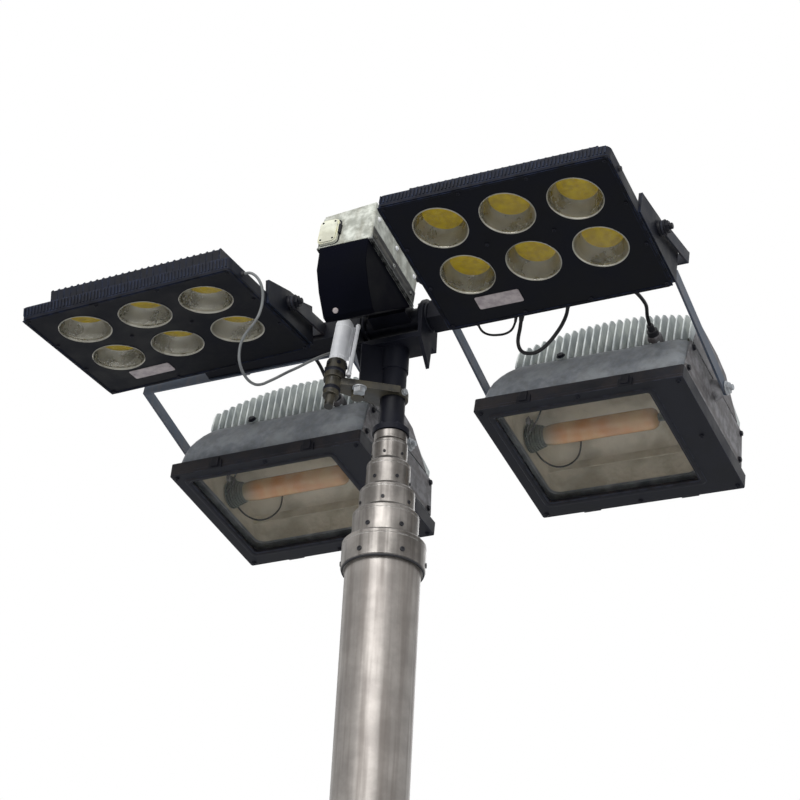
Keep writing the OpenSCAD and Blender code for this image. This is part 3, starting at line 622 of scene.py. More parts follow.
# %% Glass, reflector and light sources
def clear_glass(name, tint, clear_alpha, dusty_alpha, scale):
    material, tree, shader, where, facing = blank_finish(name)
    film = use_effect(tree, clouds, {"Where": where, "Scale": scale, "Low": 0.4, "High": 0.8})["Mask"]
    alpha = add(tree, "MapRange", {"Value": film, "To Min": clear_alpha, "To Max": dusty_alpha})
    tree.links.new(alpha.outputs[0], shader.inputs["Alpha"])
    tree.links.new(mixed(tree, film, card(*tint), card(150, 144, 128)), shader.inputs["Base Color"])
    gloss = add(tree, "MapRange", {"Value": film, "To Min": 0.04, "To Max": 0.3})
    tree.links.new(gloss.outputs[0], shader.inputs["Roughness"])
    shader.inputs["Transmission Weight"].default_value = 0.6
    return material


finishes["halide_glass"] = clear_glass("dusty front glass", (120, 124, 116), 0.05, 0.16, 7.0)
finishes["lens_glass"] = clear_glass("lens dome", (150, 148, 136), 0.02, 0.05, 9.0)


def mirror_metal(name, colour, second, rough, metal, dimple_scale, dimple_depth, cloud):
    material, tree, shader, where, facing = blank_finish(name)
    patches = use_effect(tree, clouds, {"Where": where, "Scale": cloud})["Mask"]
    tree.links.new(mixed(tree, patches, card(*colour), card(*second)), shader.inputs["Base Color"])
    gloss = add(tree, "MapRange", {"Value": patches, "To Min": rough[0], "To Max": rough[1]})
    tree.links.new(gloss.outputs[0], shader.inputs["Roughness"])
    shader.inputs["Metallic"].default_value = metal
    hammered = use_effect(tree, dents, {"Where": where, "Scale": dimple_scale})["Height"]
    bump = add(tree, "Bump", {"Height": hammered, "Strength": dimple_depth, "Distance": 0.002})
    tree.links.new(bump.outputs[0], shader.inputs["Normal"])
    return material


finishes["reflector"] = mirror_metal("hammered reflector", (168, 158, 136), (206, 197, 176),
                                     (0.35, 0.55), 0.2, 85.0, 0.6, 11.0)
finishes["lens_cup"] = mirror_metal("bright lens cup", (146, 143, 132), (182, 179, 168), (0.22, 0.34), 0.8,
                                    110.0, 0.05, 14.0)
finishes["chip"] = painted("yellow phosphor", (172, 144, 3), (200, 172, 12), rough=(0.4, 0.6), wear_and_sheen_amount=0.0,
                           dust_amount=0.0, cloud=60.0, skin=0.1)


def amber_tube(name):
    """Clear outer tube, coppery in the middle where the arc burns, sooty at the ends."""
    material, tree, shader, where, facing = blank_finish(name)
    apart = add(tree, "SeparateXYZ", {0: where})
    middle = add(tree, "Math", {0: apart.outputs["X"], 1: -0.01}, operation="SUBTRACT")
    away = add(tree, "Math", {0: middle.outputs[0]}, operation="ABSOLUTE")
    warm = ramp(tree, away.outputs[0], 0.16, 0.09)
    cloud = use_effect(tree, clouds, {"Where": where, "Scale": 22.0, "Low": 0.25, "High": 0.8})["Mask"]
    copper = mixed(tree, cloud, card(196, 128, 74), card(206, 172, 116))
    tree.links.new(mixed(tree, warm, card(132, 124, 102), copper), shader.inputs["Base Color"])
    shader.inputs["Roughness"].default_value = 0.18
    shader.inputs["Coat Weight"].default_value = 0.6
    return material


finishes["bulb"] = amber_tube("amber lamp tube")
print("all finishes:", sorted(finishes))

# %% [markdown]
# ## Hands for the bench
# Four small helpers do most of the shaping: a block, a turned part made by revolving a profile, a
# plate pierced with holes, and a hexagon bolt with its washer. Shapes are drawn in millimetres, then
# scaled once. Most pieces get a narrow bevel, because no real edge is perfectly sharp.

# %% Shaping helpers
def block(bm, x0, x1, y0, y1, z0, z1):
    ring = [(x0, y0), (x1, y0), (x1, y1), (x0, y1)]
    skin(bm, [[(x, y, z) for x, y in ring] for z in (z0, z1)])


def turned(bm, profile, place=Matrix.Identity(4), segments=48, closed=False):
    """Revolve (radius, height) points about Z, then move the result to its place."""
    rings = []
    for r, z in profile:
        r = max(r, 0.01)
        rings.append([place @ Vector((r * cos(2 * pi * k / segments), r * sin(2 * pi * k / segments), z))
                      for k in range(segments)])
    skin(bm, rings, closed=closed)


def soft_rectangle(x0, x1, z0, z1, r, steps=6):
    """Rectangle with rounded corners, as (x, z) points in order."""
    corners = ((x1 - r, z1 - r, 0), (x0 + r, z1 - r, 90), (x0 + r, z0 + r, 180), (x1 - r, z0 + r, 270))
    return [
        (cx + r * cos(radians(a + 90 * k / steps)), cz + r * sin(radians(a + 90 * k / steps)))
        for cx, cz, a in corners
        for k in range(steps + 1)
    ]


def circle(x, z, r, steps=48):
    return [(x + r * cos(2 * pi * k / steps), z + r * sin(2 * pi * k / steps)) for k in range(steps)]


def pierced_plate(bm, outline, holes, y0, y1):
    """Flat plate across Y with holes through it."""
    edge_loops, loops = [], []
    for loop in [outline] + holes:
        verts = [bm.verts.new((x, y0, z)) for x, z in loop]
        loops.append(verts)
        edge_loops += [bm.edges.new((a, b)) for a, b in zip(verts, verts[1:] + verts[:1])]
    filled = bmesh.ops.triangle_fill(bm, use_beauty=True, edges=edge_loops)
    faces = [g for g in filled["geom"] if isinstance(g, bmesh.types.BMFace)]
    twin = {v: bm.verts.new((v.co.x, y1, v.co.z)) for verts in loops for v in verts}
    for face in faces:
        bm.faces.new([twin[v] for v in reversed(face.verts)])
    for verts in loops:
        for a, b in zip(verts, verts[1:] + verts[:1]):
            bm.faces.new((a, b, twin[b], twin[a]))


def axis_turn(direction):
    """Turn that carries +Z to the given direction."""
    return Vector(direction).to_track_quat("Z", "Y").to_matrix().to_4x4()


def hex_bolt(bm, place, d, head, washer=0.0, socket=False):
    """Bolt head on its washer, standing up along the place's own Z, d across the thread."""
    z = 0.0
    if washer:
        turned(bm, [(d * 0.5, 0), (washer / 2, 0), (washer / 2, d * 0.16), (d * 0.5, d * 0.16)], place, 32)
        z = d * 0.15
    sides = 32 if socket else 6
    wide = d * (0.78 if socket else 0.92)
    rise = z + head
    profile = [(wide, z), (wide, rise - d * 0.1), (wide * 0.86, rise)]
    if socket:
        profile += [(d * 0.42, rise), (d * 0.42, rise - head * 0.5), (0.01, rise - head * 0.5)]
    turned(bm, profile, place, sides)


def make(name, bm, body, finish, place=Matrix.Identity(4), bevel=0.8, replaces=(), smooth=32):
    """Scale from millimetres, bevel, give the finish, and hang the piece on its body."""
    bmesh.ops.scale(bm, vec=(MM, MM, MM), verts=bm.verts)
    obj = new_object(name, bm, place, smooth)
    return dress(obj, body, finish, bevel, replaces)


def dress(obj, body, finish, bevel=0.0, replaces=()):
    obj.data.materials.clear()
    obj.data.materials.append(finishes[finish])
    if bevel:
        edge = obj.modifiers.new("soft edges", "BEVEL")
        edge.width = bevel * MM
        edge.segments = 2
        edge.limit_method = "ANGLE"
        edge.angle_limit = radians(34)
        edge.harden_normals = True
    if body:
        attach(obj, body)
    if replaces:
        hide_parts(*replaces)
    return obj


def softened(node, finish, width, name=None):
    """A copy of a CAD node with its facets merged and its edges rounded, in the node's place."""
    bm = bmesh.new()
    bm.from_mesh(frame["nodes"][node].data)
    bmesh.ops.remove_doubles(bm, verts=bm.verts, dist=1e-5)
    bmesh.ops.dissolve_limit(bm, angle_limit=radians(1.0), verts=bm.verts, edges=bm.edges)
    obj = new_object(name or node + "_part", bm, smooth=32)
    return dress(obj, body_of(frame["nodes"][node])[0], finish, width, (node,))


def kept(node, finish):
    """A CAD node whose shape is right keeps its mesh and takes a finish."""
    obj = frame["nodes"][node]
    if obj.material_slots:
        for holder in obj.material_slots:
            holder.material = finishes[finish]
    else:
        obj.data.materials.append(finishes[finish])


for lead_name, lead in leads.items():
    lead.data.materials.append(finishes["grey_cable" if lead_name == "grey_lead" else "lead_rubber"])
print("leads dressed:", len(leads))

# %% [markdown]
# ## The mast
# The six tubes stay as the engineering model has them, because a drawn tube is a plain cylinder.
# The collars are where the work shows: each is turned from bar, with chamfers, a shallow groove, a
# black wiper ring that scrapes the tube clean, and six screws that hold the guide pads. A black band
# round the foot of each collar is a painted shadow line under it.

# %% Mast tubes and collars
for node in ("base_tube", "stage_2_tube", "stage_3_tube", "stage_4_tube", "stage_5_tube", "stage_6_tube"):
    kept(node, "mast_aluminium")

collars = [
    ("base_collar", "mast_base", 156, 128.6, -98, 7),
    ("stage_2_collar", "mast_stage_2", 128, 106.6, -95, 6.5),
    ("stage_3_collar", "mast_stage_3", 106, 84.6, -72, 5),
    ("stage_4_collar", "mast_stage_4", 84, 64.6, -100, 5),
    ("stage_5_collar", "mast_stage_5", 64, 46.6, -80, 4),
]
for node, body, outer_tube, bore, first_angle, screw in collars:
    low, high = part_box(node)
    r = (high.x - low.x) / 2 / MM
    z0, z1 = low.z / MM, high.z / MM
    tall = z1 - z0
    groove = z0 + tall * 0.8
    bm = bmesh.new()
    turned(bm, [
        (outer_tube / 2, z0), (r - 4, z0), (r - 1.2, z0 + 3.6), (r, z0 + 5.5), (r, groove),
        (r - 0.7, groove + 0.6), (r - 0.7, groove + 1.8), (r, groove + 2.4), (r, z1 - 4),
        (r - 1.2, z1 - 2.4), (r - 3.4, z1),
        (bore / 2 + 5, z1), (bore / 2 + 5, z1 - 4), (bore / 2, z1 - 4), (bore / 2, z0 + 20),
        (outer_tube / 2, z0 + 20),
    ], segments=96, closed=True)
    make(node + "_turned", bm, body, "collar_aluminium", bevel=0.0, replaces=(node,), smooth=24)
    bm = bmesh.new()
    turned(bm, [(bore / 2 + 0.1, z1 - 4), (bore / 2 + 4.8, z1 - 4), (bore / 2 + 4.6, z1 - 0.6),
                (bore / 2 + 1.6, z1 + 0.2), (bore / 2 + 0.1, z1 + 0.6)], segments=96, closed=True)
    # Black band round the collar's foot: a painted shadow line under the collar.
    turned(bm, [(outer_tube / 2 + 1, z0 + 0.2), (r - 2.2, z0 - 0.2), (r - 1.4, z0 + 1.4), (r - 1.2, z0 + 3.2),
                (outer_tube / 2 + 1, z0 + 3.2)], segments=96, closed=True)
    make(node + "_wiper_and_shadow_rings", bm, body, "gland_plastic", bevel=0.0)
    bm = bmesh.new()
    for k in range(6):
        a = radians(first_angle + 60 * k)
        out = Vector((cos(a), sin(a), 0))
        spot = Matrix.Translation(out * (r - 0.6) + Vector((0, 0, z0 + 0.3 * tall)))
        hex_bolt(bm, spot @ axis_turn(out), screw, 2.6, socket=True)
    make(node + "_screws", bm, body, "gland_plastic", bevel=0.0)
softened("stage_6_cap", "collar_aluminium", 2.0)
print("collars turned:", len(collars))

# %% [markdown]
# ## Foot of the mast
# The flange is cut from plate, with four welded ribs, and bolts down to a trailer or a vehicle roof.
# Its bolts are drawn with their washers, and a weld bead closes the joint between the tube and the
# plate: a ring of small overlapping ripples, because a hand weld is laid in drops.

# %% Foot flange
softened("base_flange", "galvanised_steel", 1.2)
flange_top, tube_radius = 16, 78
bolt_count, bolt_circle = 8, 125
bm = bmesh.new()
for k in range(bolt_count):
    a = radians(360 / bolt_count * k)
    spot = Matrix.Translation((bolt_circle * cos(a), bolt_circle * sin(a), flange_top))
    hex_bolt(bm, spot, 16, 10, washer=30)
make("flange_bolts", bm, "mast_base", "galvanised_steel", bevel=0.6)
bm = bmesh.new()
bead_steps = 180
bead_outline = (0, pi / 8, pi / 4, 3 * pi / 8, pi / 2, pi, 3 * pi / 2)
bead_rings = []
for k in range(bead_steps):
    a = 2 * pi * k / bead_steps
    thick = 5.5 + 0.6 * sin(pi * (k % 3) / 3)
    ring = []
    for b in bead_outline:
        reach = tube_radius - 1 + thick * cos(b)
        ring.append((reach * cos(a), reach * sin(a), flange_top - 1 + thick * sin(b)))
    bead_rings.append(ring)
skin(bm, bead_rings, closed=True)
make("tube_weld", bm, "mast_base", "galvanised_steel", bevel=0.0, smooth=60)
print("foot done")

# %% [markdown]
# ## Neck, fork and tilt drive
# Above the last tube stands a black painted post with a welded fork. A small gear motor sits beside
# it on a clamp plate and tips the head. The black parts are plain plate work, so they are the
# engineering shapes with their edges eased; the motor and its conduit are turned.

# %% Neck and fork
softened("neck_post", "black_steel", 1.5)
softened("tilt_fork", "black_steel", 1.5)
neck_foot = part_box("neck_post")[0].z / MM
hinge = axis_height / MM
bm = bmesh.new()
for k in range(6):
    a = radians(20 + 60 * k)
    hex_bolt(bm, Matrix.Translation((33 * cos(a), 33 * sin(a), neck_foot + 12)), 6, 5, socket=True)
make("neck_screws", bm, "mast_top", "black_steel", bevel=0.0)

bm = bmesh.new()
for s in (-1, 1):
    turn = Matrix.Translation((s * 78.4, 0, hinge)) @ axis_turn((s, 0, 0))
    turned(bm, [(25.2, 0), (33, 0), (33, 2.6), (31.5, 4), (25.2, 4)], turn, 48, closed=True)
    inner = Matrix.Translation((s * 69.8, 0, hinge)) @ axis_turn((-s, 0, 0))
    turned(bm, [(25.2, 0), (36, 0), (36, 5), (34, 7), (25.2, 7)], inner, 48, closed=True)
    for k in range(4):
        a = radians(45 + 90 * k)
        hex_bolt(bm, inner @ Matrix.Translation((30.5 * cos(a), 30.5 * sin(a), 6.8)), 5, 3.5, socket=True)
make("fork_bearings", bm, "mast_top", "black_steel", bevel=0.3)

# %% Tilt motor, gearbox and conduit
softened("tilt_gearbox", "gearbox_casting", 1.2)
motor_foot = Matrix.Translation((-91, -90, hinge - 131)) @ Matrix.Rotation(radians(-12), 4, "X")
bm = bmesh.new()
turned(bm, [
    (17, 0), (19, 1.5), (19, 9), (18, 10), (18, 12), (19, 13), (19, 94), (18.2, 95), (18.2, 97), (19, 98),
    (19, 111), (17.5, 114), (15, 115), (15, 118), (13, 121), (6, 123), (0, 124),
], motor_foot, 64)
plate_turn = motor_foot @ Matrix.Rotation(radians(34), 4, "Z")
for z in (17, 36, 55, 74, 93):
    edge = [(x, y, z + dz) for x, y, dz in ((17.5, -2, 0), (23.2, -2, 0), (23.2, 2, 0), (17.5, 2, 0))]
    skin(bm, [[plate_turn @ Vector(p) for p in edge],
              [plate_turn @ Vector((x, y, z + 17)) for x, y, z in edge]])
make("tilt_motor_body", bm, "mast_top", "bright_steel", bevel=0.0, replaces=("tilt_motor",), smooth=28)
bm = bmesh.new()
for k in range(4):
    a = radians(30 + 90 * k)
    hex_bolt(bm, motor_foot @ Matrix.Translation((13 * cos(a), 13 * sin(a), 118)), 4, 3, socket=True)
turned(bm, [(22.2, -34), (23.4, -32), (23.4, -27), (22.2, -25)], motor_foot, 48, closed=True)
turned(bm, [(17.2, -80), (18.6, -78), (18.6, -72), (17.2, -70)], motor_foot, 48, closed=True)
for k in range(6):
    a = radians(10 + 60 * k)
    out = Vector((cos(a), sin(a), 0))
    hex_bolt(bm, motor_foot @ Matrix.Translation(out * 21.6 + Vector((0, 0, -12))) @ axis_turn(out), 5, 3)
make("gearbox_bands", bm, "mast_top", "black_steel", bevel=0.2)

bm = bmesh.new()
conduit_foot = (
    Matrix.Translation((-67, -74, hinge - 131)) @ Matrix.Rotation(radians(-12), 4, "X")
    @ Matrix.Translation((0, 0, -30))
)
ripple = [(5.4, 0), (5.4, 9), (4.2, 10)]
for k in range(63):
    ripple += [(4.5, 10.4 + 2 * k), (3.7, 11.4 + 2 * k)]
ripple += [(5.4, 137), (5.4, 144), (4.2, 146)]
turned(bm, ripple, conduit_foot, 14)
make("conduit_hose", bm, "mast_top", "bright_steel", bevel=0.0, replaces=("motor_conduit",), smooth=70)

bm = bmesh.new()
clamp_z = hinge - 190
for a in (radians(-20), radians(160)):
    out = Vector((cos(a), sin(a), 0))
    spot = Matrix.Translation(out * 32.5 + Vector((0, 0, clamp_z + 8))) @ axis_turn(out)
    hex_bolt(bm, spot, 8, 6, washer=15)
below_plate = Matrix.Translation((-42, -74, clamp_z)) @ axis_turn((0, 0, -1))
turned(bm, [(15, -0.5), (15, 2.4), (13, 3)], below_plate, 32)
turned(bm, [(13.5, 2.5), (13.5, 13), (11.5, 14.5)], below_plate, 6)
make("clamp_hardware", bm, "mast_top", "galvanised_steel", bevel=0.4)
print("drive done, hinge at %.1f mm" % hinge)

# %% [markdown]
# ## Cross arm and control box
# The arm is square tube. The box on it has a pale weathered shell at the back and a hood in front,
# coloured near black as painted shade on the box's underside. On the shell's forward face sits a small
# junction cover with its latch, on a black plate that shows past it at the top and right as a painted
# shadow, and the hood is held by two scuffed flanges. One small pale dome sits low on it: a painted
# glint.

# %% Cross arm and box
softened("cross_arm", "black_steel", 1.8)
softened("head_box", "pale_shell", 2.2)
# The hood is coloured near black: painted shade on the box's underside.
softened("box_cover", "black_cover", 3.0)

# The pad stands on the face that looks along +Z of the head, so plates drawn across Y are turned onto it.
onto_face = Matrix(((1, 0, 0, 0), (0, 0, 1, 0), (0, 1, 0, 269.5), (0, 0, 0, 1)))
bm = bmesh.new()
pierced_plate(bm, soft_rectangle(-60, -16, -7, 60, 11), [], 1.2, 8)
pierced_plate(bm, soft_rectangle(-57.5, -18.5, -4.5, 57.5, 9), [], 8, 10.5)
bmesh.ops.transform(bm, matrix=onto_face, verts=bm.verts)
make("junction_cover", bm, "head", "junction_pad", head_place, bevel=2.2)
bm = bmesh.new()
# The black plate under the pad reaches past it at the top and right: a painted shadow of the pad.
pierced_plate(bm, soft_rectangle(-61, -13, -8, 63, 12), [], 0, 1.4)
bmesh.ops.transform(bm, matrix=onto_face, verts=bm.verts)
for x, y in ((-52, 2), (-24, 2), (-52, 51), (-24, 51)):
    hex_bolt(bm, Matrix.Translation((x, y, 279.6)), 3, 1.4, socket=True)
block(bm, -15.5, -11, 18, 44, 269, 277)
make("junction_latch_and_shadow_plate", bm, "head", "black_steel", head_place, bevel=0.4)

bm = bmesh.new()
for z in (70, 160, 250):
    for s in (-1, 1):
        out = Vector((s, 0, 0))
        hex_bolt(bm, Matrix.Translation((s * 62, 60, z)) @ axis_turn(out), 5, 2.5, washer=11)
make("shell_screws", bm, "head", "bright_steel", head_place, bevel=0.3)

bm = bmesh.new()
for s in (-1, 1):
    x0, x1 = sorted((s * 56, s * 63.5))
    block(bm, x0, x1, -12, -8, 51, 269)
    x0, x1 = sorted((s * 62, s * 63.5))
    block(bm, x0, x1, -12, 26, 54, 266)
    for z in (72, 160, 248):
        hex_bolt(bm, Matrix.Translation((s * 63.5, 8, z)) @ axis_turn((s, 0, 0)), 5, 2.5, socket=True)
make("hood_flanges", bm, "head", "hood_flange", head_place, bevel=0.5)
bm = bmesh.new()
# Small pale dome on the hood: a painted glint.
lens_turn = Matrix.Translation((-25, -142, 209.5)) @ axis_turn((0, -0.679, 0.734))
turned(bm, [(6, -1), (6, 2), (4.6, 3.4), (0, 4)], lens_turn, 32)
make("pale_glint_dome", bm, "head", "label_plate", head_place, bevel=0.0)

# %% [markdown]
# ## Glands on the arm
# Every lead enters the arm through a screwed gland: a hexagon body, a domed nut and a soft tapered
# boot, which keeps the lead from kinking where it leaves. One turned profile makes them all.

# %% Glands on the arm
arm_glands = [((400, -25, 0), (0, -1, 0), 8, 16), ((290, -25, -12), (0, -1, 0), 8, 14),
              ((277, -25, -12), (0, -1, 0), 5, 9), ((196, -25, 0), (0, -1, 0), 5, 9),
              ((-127, -25, 3), (0, -1, 0), 6, 12), ((-228, 9, -25), (0, 0, -1), 8, 14),
              ((470, 0, 0), (1, 0, 0), 8, 14)]
nuts, boots = bmesh.new(), bmesh.new()
for spot, out, lead_d, gland_d in arm_glands:
    place = Matrix.Translation(spot) @ axis_turn(out)
    turned(nuts, [(gland_d * 0.62, -0.5), (gland_d * 0.62, 3.4), (gland_d * 0.54, 4.2)], place, 6)
    turned(nuts, [(gland_d * 0.53, 4), (gland_d * 0.53, 7.5), (gland_d * 0.44, 9)], place, 24)
    taper = [(lead_d * 0.78, 8.5)]
    for k in range(5):
        wide = lead_d * (0.76 - 0.035 * k)
        taper += [(wide, 10 + 3.6 * k), (wide, 12 + 3.6 * k), (wide - 0.7, 12.4 + 3.6 * k),
                  (wide - 0.7, 13.2 + 3.6 * k)]
    turned(boots, taper + [(lead_d * 0.52, 28)], place, 20)
make("arm_gland_nuts", nuts, "head", "gland_plastic", head_place, bevel=0.3)
make("arm_gland_boots", boots, "head", "lead_rubber", head_place, bevel=0.0)
print("glands:", len(arm_glands))

# %% [markdown]
# ## Stirrups
# Each lamp hangs in a U bent from flat bar. The bar's shape is already right, so its edges are eased
# and the fixings added: one bolt through the arm with a nut on the far side, seen from both.

# %% Stirrups
for side in ("left", "right"):
    softened("led_stirrup_" + side, "led_stirrup", 1.0)
    softened("halide_stirrup_" + side, "halide_stirrup", 1.0)
bm = bmesh.new()
for x, y, up in ((408, -8, 1), (-424, -8, 1), (368, 8, -1), (-380, -15, -1)):
    hex_bolt(bm, Matrix.Translation((x, y, up * 30)) @ axis_turn((0, 0, up)), 12, 8, washer=26)
    hex_bolt(bm, Matrix.Translation((x, y, -up * 25)) @ axis_turn((0, 0, -up)), 12, 8, washer=26)
make("stirrup_bolts", bm, "head", "galvanised_steel", head_place, bevel=0.5)
print("stirrups done")


# %% [markdown]
# ## Pivot hardware
# A lamp turns on two bolts, one at each end. Outside the bar sit a washer and a hexagon head; between
# the bar and the lamp a serrated boss, whose teeth lock the angle when the bolt is pulled tight.

# %% Pivot hardware
def pivot_hardware(bm, half_body, half_arm):
    for s in (-1, 1):
        inner = Matrix.Translation((s * half_body, 0, 0)) @ axis_turn((s, 0, 0))
        long = half_arm - 3.5 - half_body
        turned(bm, [(17, 0), (17, long - 2), (16, long)], inner, 40)
        for k in range(16):
            a = 2 * pi * k / 16
            tooth = inner @ Matrix.Rotation(a, 4, "Z") @ Matrix.Translation((14, 0, long - 0.4))
            turned(bm, [(1.3, 0), (0.6, 0.8)], tooth, 4)
        outer = Matrix.Translation((s * (half_arm + 3.5), 0, 0)) @ axis_turn((s, 0, 0))
        turned(bm, [(16, 0), (16, 2.2), (15, 3)], outer, 40)
        turned(bm, [(13.5, 2.6), (13.5, 8), (12.2, 9)], outer, 6)
        turned(bm, [(6.6, 8), (6.6, 15), (5.6, 16)], outer, 24)


# %% [markdown]
# ## LED lamps
# Each LED lamp is a die-cast tray. Six deep bright cups are pressed into its face, each with a disc
# of yellow phosphor at the bottom and a low clear dome over the mouth. Because the cups are really
# deep, the yellow disc slides up in its cup when the lamp is seen from below, as on the real one.
# The back is a comb of thin cooling fins.

# %% LED lamps
lens_xs = (-145, 0, 145)
lens_zs = (33, 173)
lens_spots = [(x, z) for x in lens_xs for z in lens_zs]


def led_lamp(side):
    place, body = led_places[side], "led_lamp_" + side
    bm = bmesh.new()
    pierced_plate(bm, soft_rectangle(-248, 248, -114, 264, 14), [circle(x, z, 56) for x, z in lens_spots],
                  -46.5, -22.5)
    pierced_plate(bm, soft_rectangle(-218, 218, -78, 240, 10), [circle(x, z, 50) for x, z in lens_spots],
                  -23.5, -12)
    pierced_plate(bm, soft_rectangle(-217, 217, -77, 239, 10), [], -12.2, -6.5)
    for s in (-1, 1):
        x0, x1 = sorted((s * 200, s * 246))
        block(bm, x0, x1, -26.5, 25, -26, 26)
        plate = [(-46, 97), (8, 97), (30, 0), (34, -60), (46, -106), (-46, -111)]
        skin(bm, [[(s * x, y, z) for y, z in plate] for x in (244, 252)])
    make("led_tray_" + side, bm, body, "led_casting", place, bevel=1.6, replaces=("led_body_" + side,))

    bm = bmesh.new()
    for k in range(-13, 14):
        x = k * 15.5
        foot = [(-7.5, -54), (-7.5, 224), (28, 224), (33, 219), (33, -30), (18, -54)]
        wide = [(x - 1.9, x + 1.9), (x - 1.1, x + 1.1)]
        rings = []
        for y, z in foot:
            w = wide[0] if y < 0 else wide[1]
            rings.append([(w[0], y, z), (w[1], y, z)])
        near = [bm.verts.new(r[0]) for r in rings]
        far = [bm.verts.new(r[1]) for r in rings]
        bm.faces.new(near)
        bm.faces.new(list(reversed(far)))
        for i in range(len(near)):
            j = (i + 1) % len(near)
            bm.faces.new((near[i], far[i], far[j], near[j]))
    for z, reach in ((-54, 2), (84, 2), (222, 27)):
        block(bm, -203, 203, -7.5, reach, z - 2, z + 2)
    make("led_fins_" + side, bm, body, "led_casting", place, bevel=0.4)

    bm = bmesh.new()
    for k in range(-30, 31):
        block(bm, k * 8 - 1.5, k * 8 + 1.5, -44, -25, 262.5, 266)
    make("led_edge_teeth_" + side, bm, body, "led_casting", place, bevel=0.3)

    bm = bmesh.new()
    pierced_plate(bm, soft_rectangle(-248, 248, -114, 264, 14), [circle(x, z, 57.4) for x, z in lens_spots],
                  -52.5, -46.5)
    for x0, x1, z0, z1 in ((-246, 246, 256, 261), (-246, 246, -111, -106)):
        block(bm, x0, x1, -54, -52, z0, z1)
    for x0, x1 in ((-246, -241), (241, 246)):
        block(bm, x0, x1, -54, -52, -106, 256)
    make("led_front_" + side, bm, body, "led_bezel", place, bevel=1.2, replaces=("led_bezel_" + side,))

    cups, chips, domes, rims = bmesh.new(), bmesh.new(), bmesh.new(), bmesh.new()
    for x, z in lens_spots:
        at = Matrix.Translation((x, 0, z)) @ axis_turn((0, -1, 0))
        turned(cups, [(57.5, 46), (54.5, 47.5), (53, 43), (50.5, 34), (47.5, 24), (43.5, 15), (42, 13),
                      (58, 40)], at, 48, closed=True)
        turned(chips, [(42.4, 12.4), (42.4, 13.6), (39, 14.4), (0, 14.6)], at, 40)
        turned(domes, [(55, 47.6), (55, 48.8), (45, 52.2), (30, 54.2), (15, 55.2), (0, 55.6), (0, 54.4),
                       (15, 54.0), (30, 53.0), (45, 51.0)], at, 48)
        turned(rims, [(54, 47.5), (57.3, 47.5), (57.3, 53.2), (56.3, 53.9), (55.2, 53.2), (54, 49)], at, 64,
               closed=True)
    make("led_cups_" + side, cups, body, "lens_cup", place, bevel=0.0, smooth=50)
    make("led_chips_" + side, chips, body, "chip", place, bevel=0.0)
    make("led_rims_" + side, rims, body, "lens_cup", place, bevel=0.0, smooth=50)
    make("led_domes_" + side, domes, body, "lens_glass", place, bevel=0.0,
         replaces=("led_lenses_" + side,), smooth=60)

    bm = bmesh.new()
    front = axis_turn((0, -1, 0))
    for x in (-236, -72.5, 72.5, 236):
        for z in (-102, 252):
            hex_bolt(bm, Matrix.Translation((x, -52.5, z)) @ front, 5, 2.6, socket=True)
    for x in (-236, 236):
        for z in (16, 134):
            hex_bolt(bm, Matrix.Translation((x, -52.5, z)) @ front, 5, 2.6, socket=True)
    for x in (-72.5, 72.5):
        hex_bolt(bm, Matrix.Translation((x, -52.5, 103)) @ front, 5, 2.6, socket=True)
    make("led_screws_" + side, bm, body, "black_steel", place, bevel=0.0)

    bm = bmesh.new()
    pierced_plate(bm, soft_rectangle(-160, -62, -70, -34, 4), [], -53.6, -52.4)
    for x in (-155, -67):
        hex_bolt(bm, Matrix.Translation((x, -53.4, -52)) @ front, 2.4, 1.2)
    make("led_plate_" + side, bm, body, "label_plate", place, bevel=0.3)

    bm = bmesh.new()
    pivot_hardware(bm, 252, 262)
    make("led_pivots_" + side, bm, body, "black_steel", place, bevel=0.4)
    bm = bmesh.new()
    gland_turn = Matrix.Translation((247, -36.5, 210)) @ axis_turn((1, 0, 0))
    turned(bm, [(6, 0), (6, 4), (5, 5), (5, 7)], gland_turn, 6)
    make("led_gland_" + side, bm, body, "gland_plastic", place, bevel=0.3)


for side in ("left", "right"):
    led_lamp(side)
print("LED lamps done")

# %% [markdown]
# ## Halide lamps
# A halide lamp is a deep casting: a smooth shell that steps in towards the back, with a block of
# tall ribs over the hot gear. The shell is skinned over a row of rounded rectangles, the ribs are cut
# plates with eased tips whose height follows a crown, and the far side is closed by a flat cover.

# %% Halide lamps
def ring_at(y, x0, x1, z0, z1, r):
    return [(x, y, z) for x, z in soft_rectangle(x0, x1, z0, z1, r, 8)]


def crown(x):
    return 131 - 0.00085 * (x - 50) ** 2


rib_places = [-170 + k * 397 / 23 for k in range(24)]


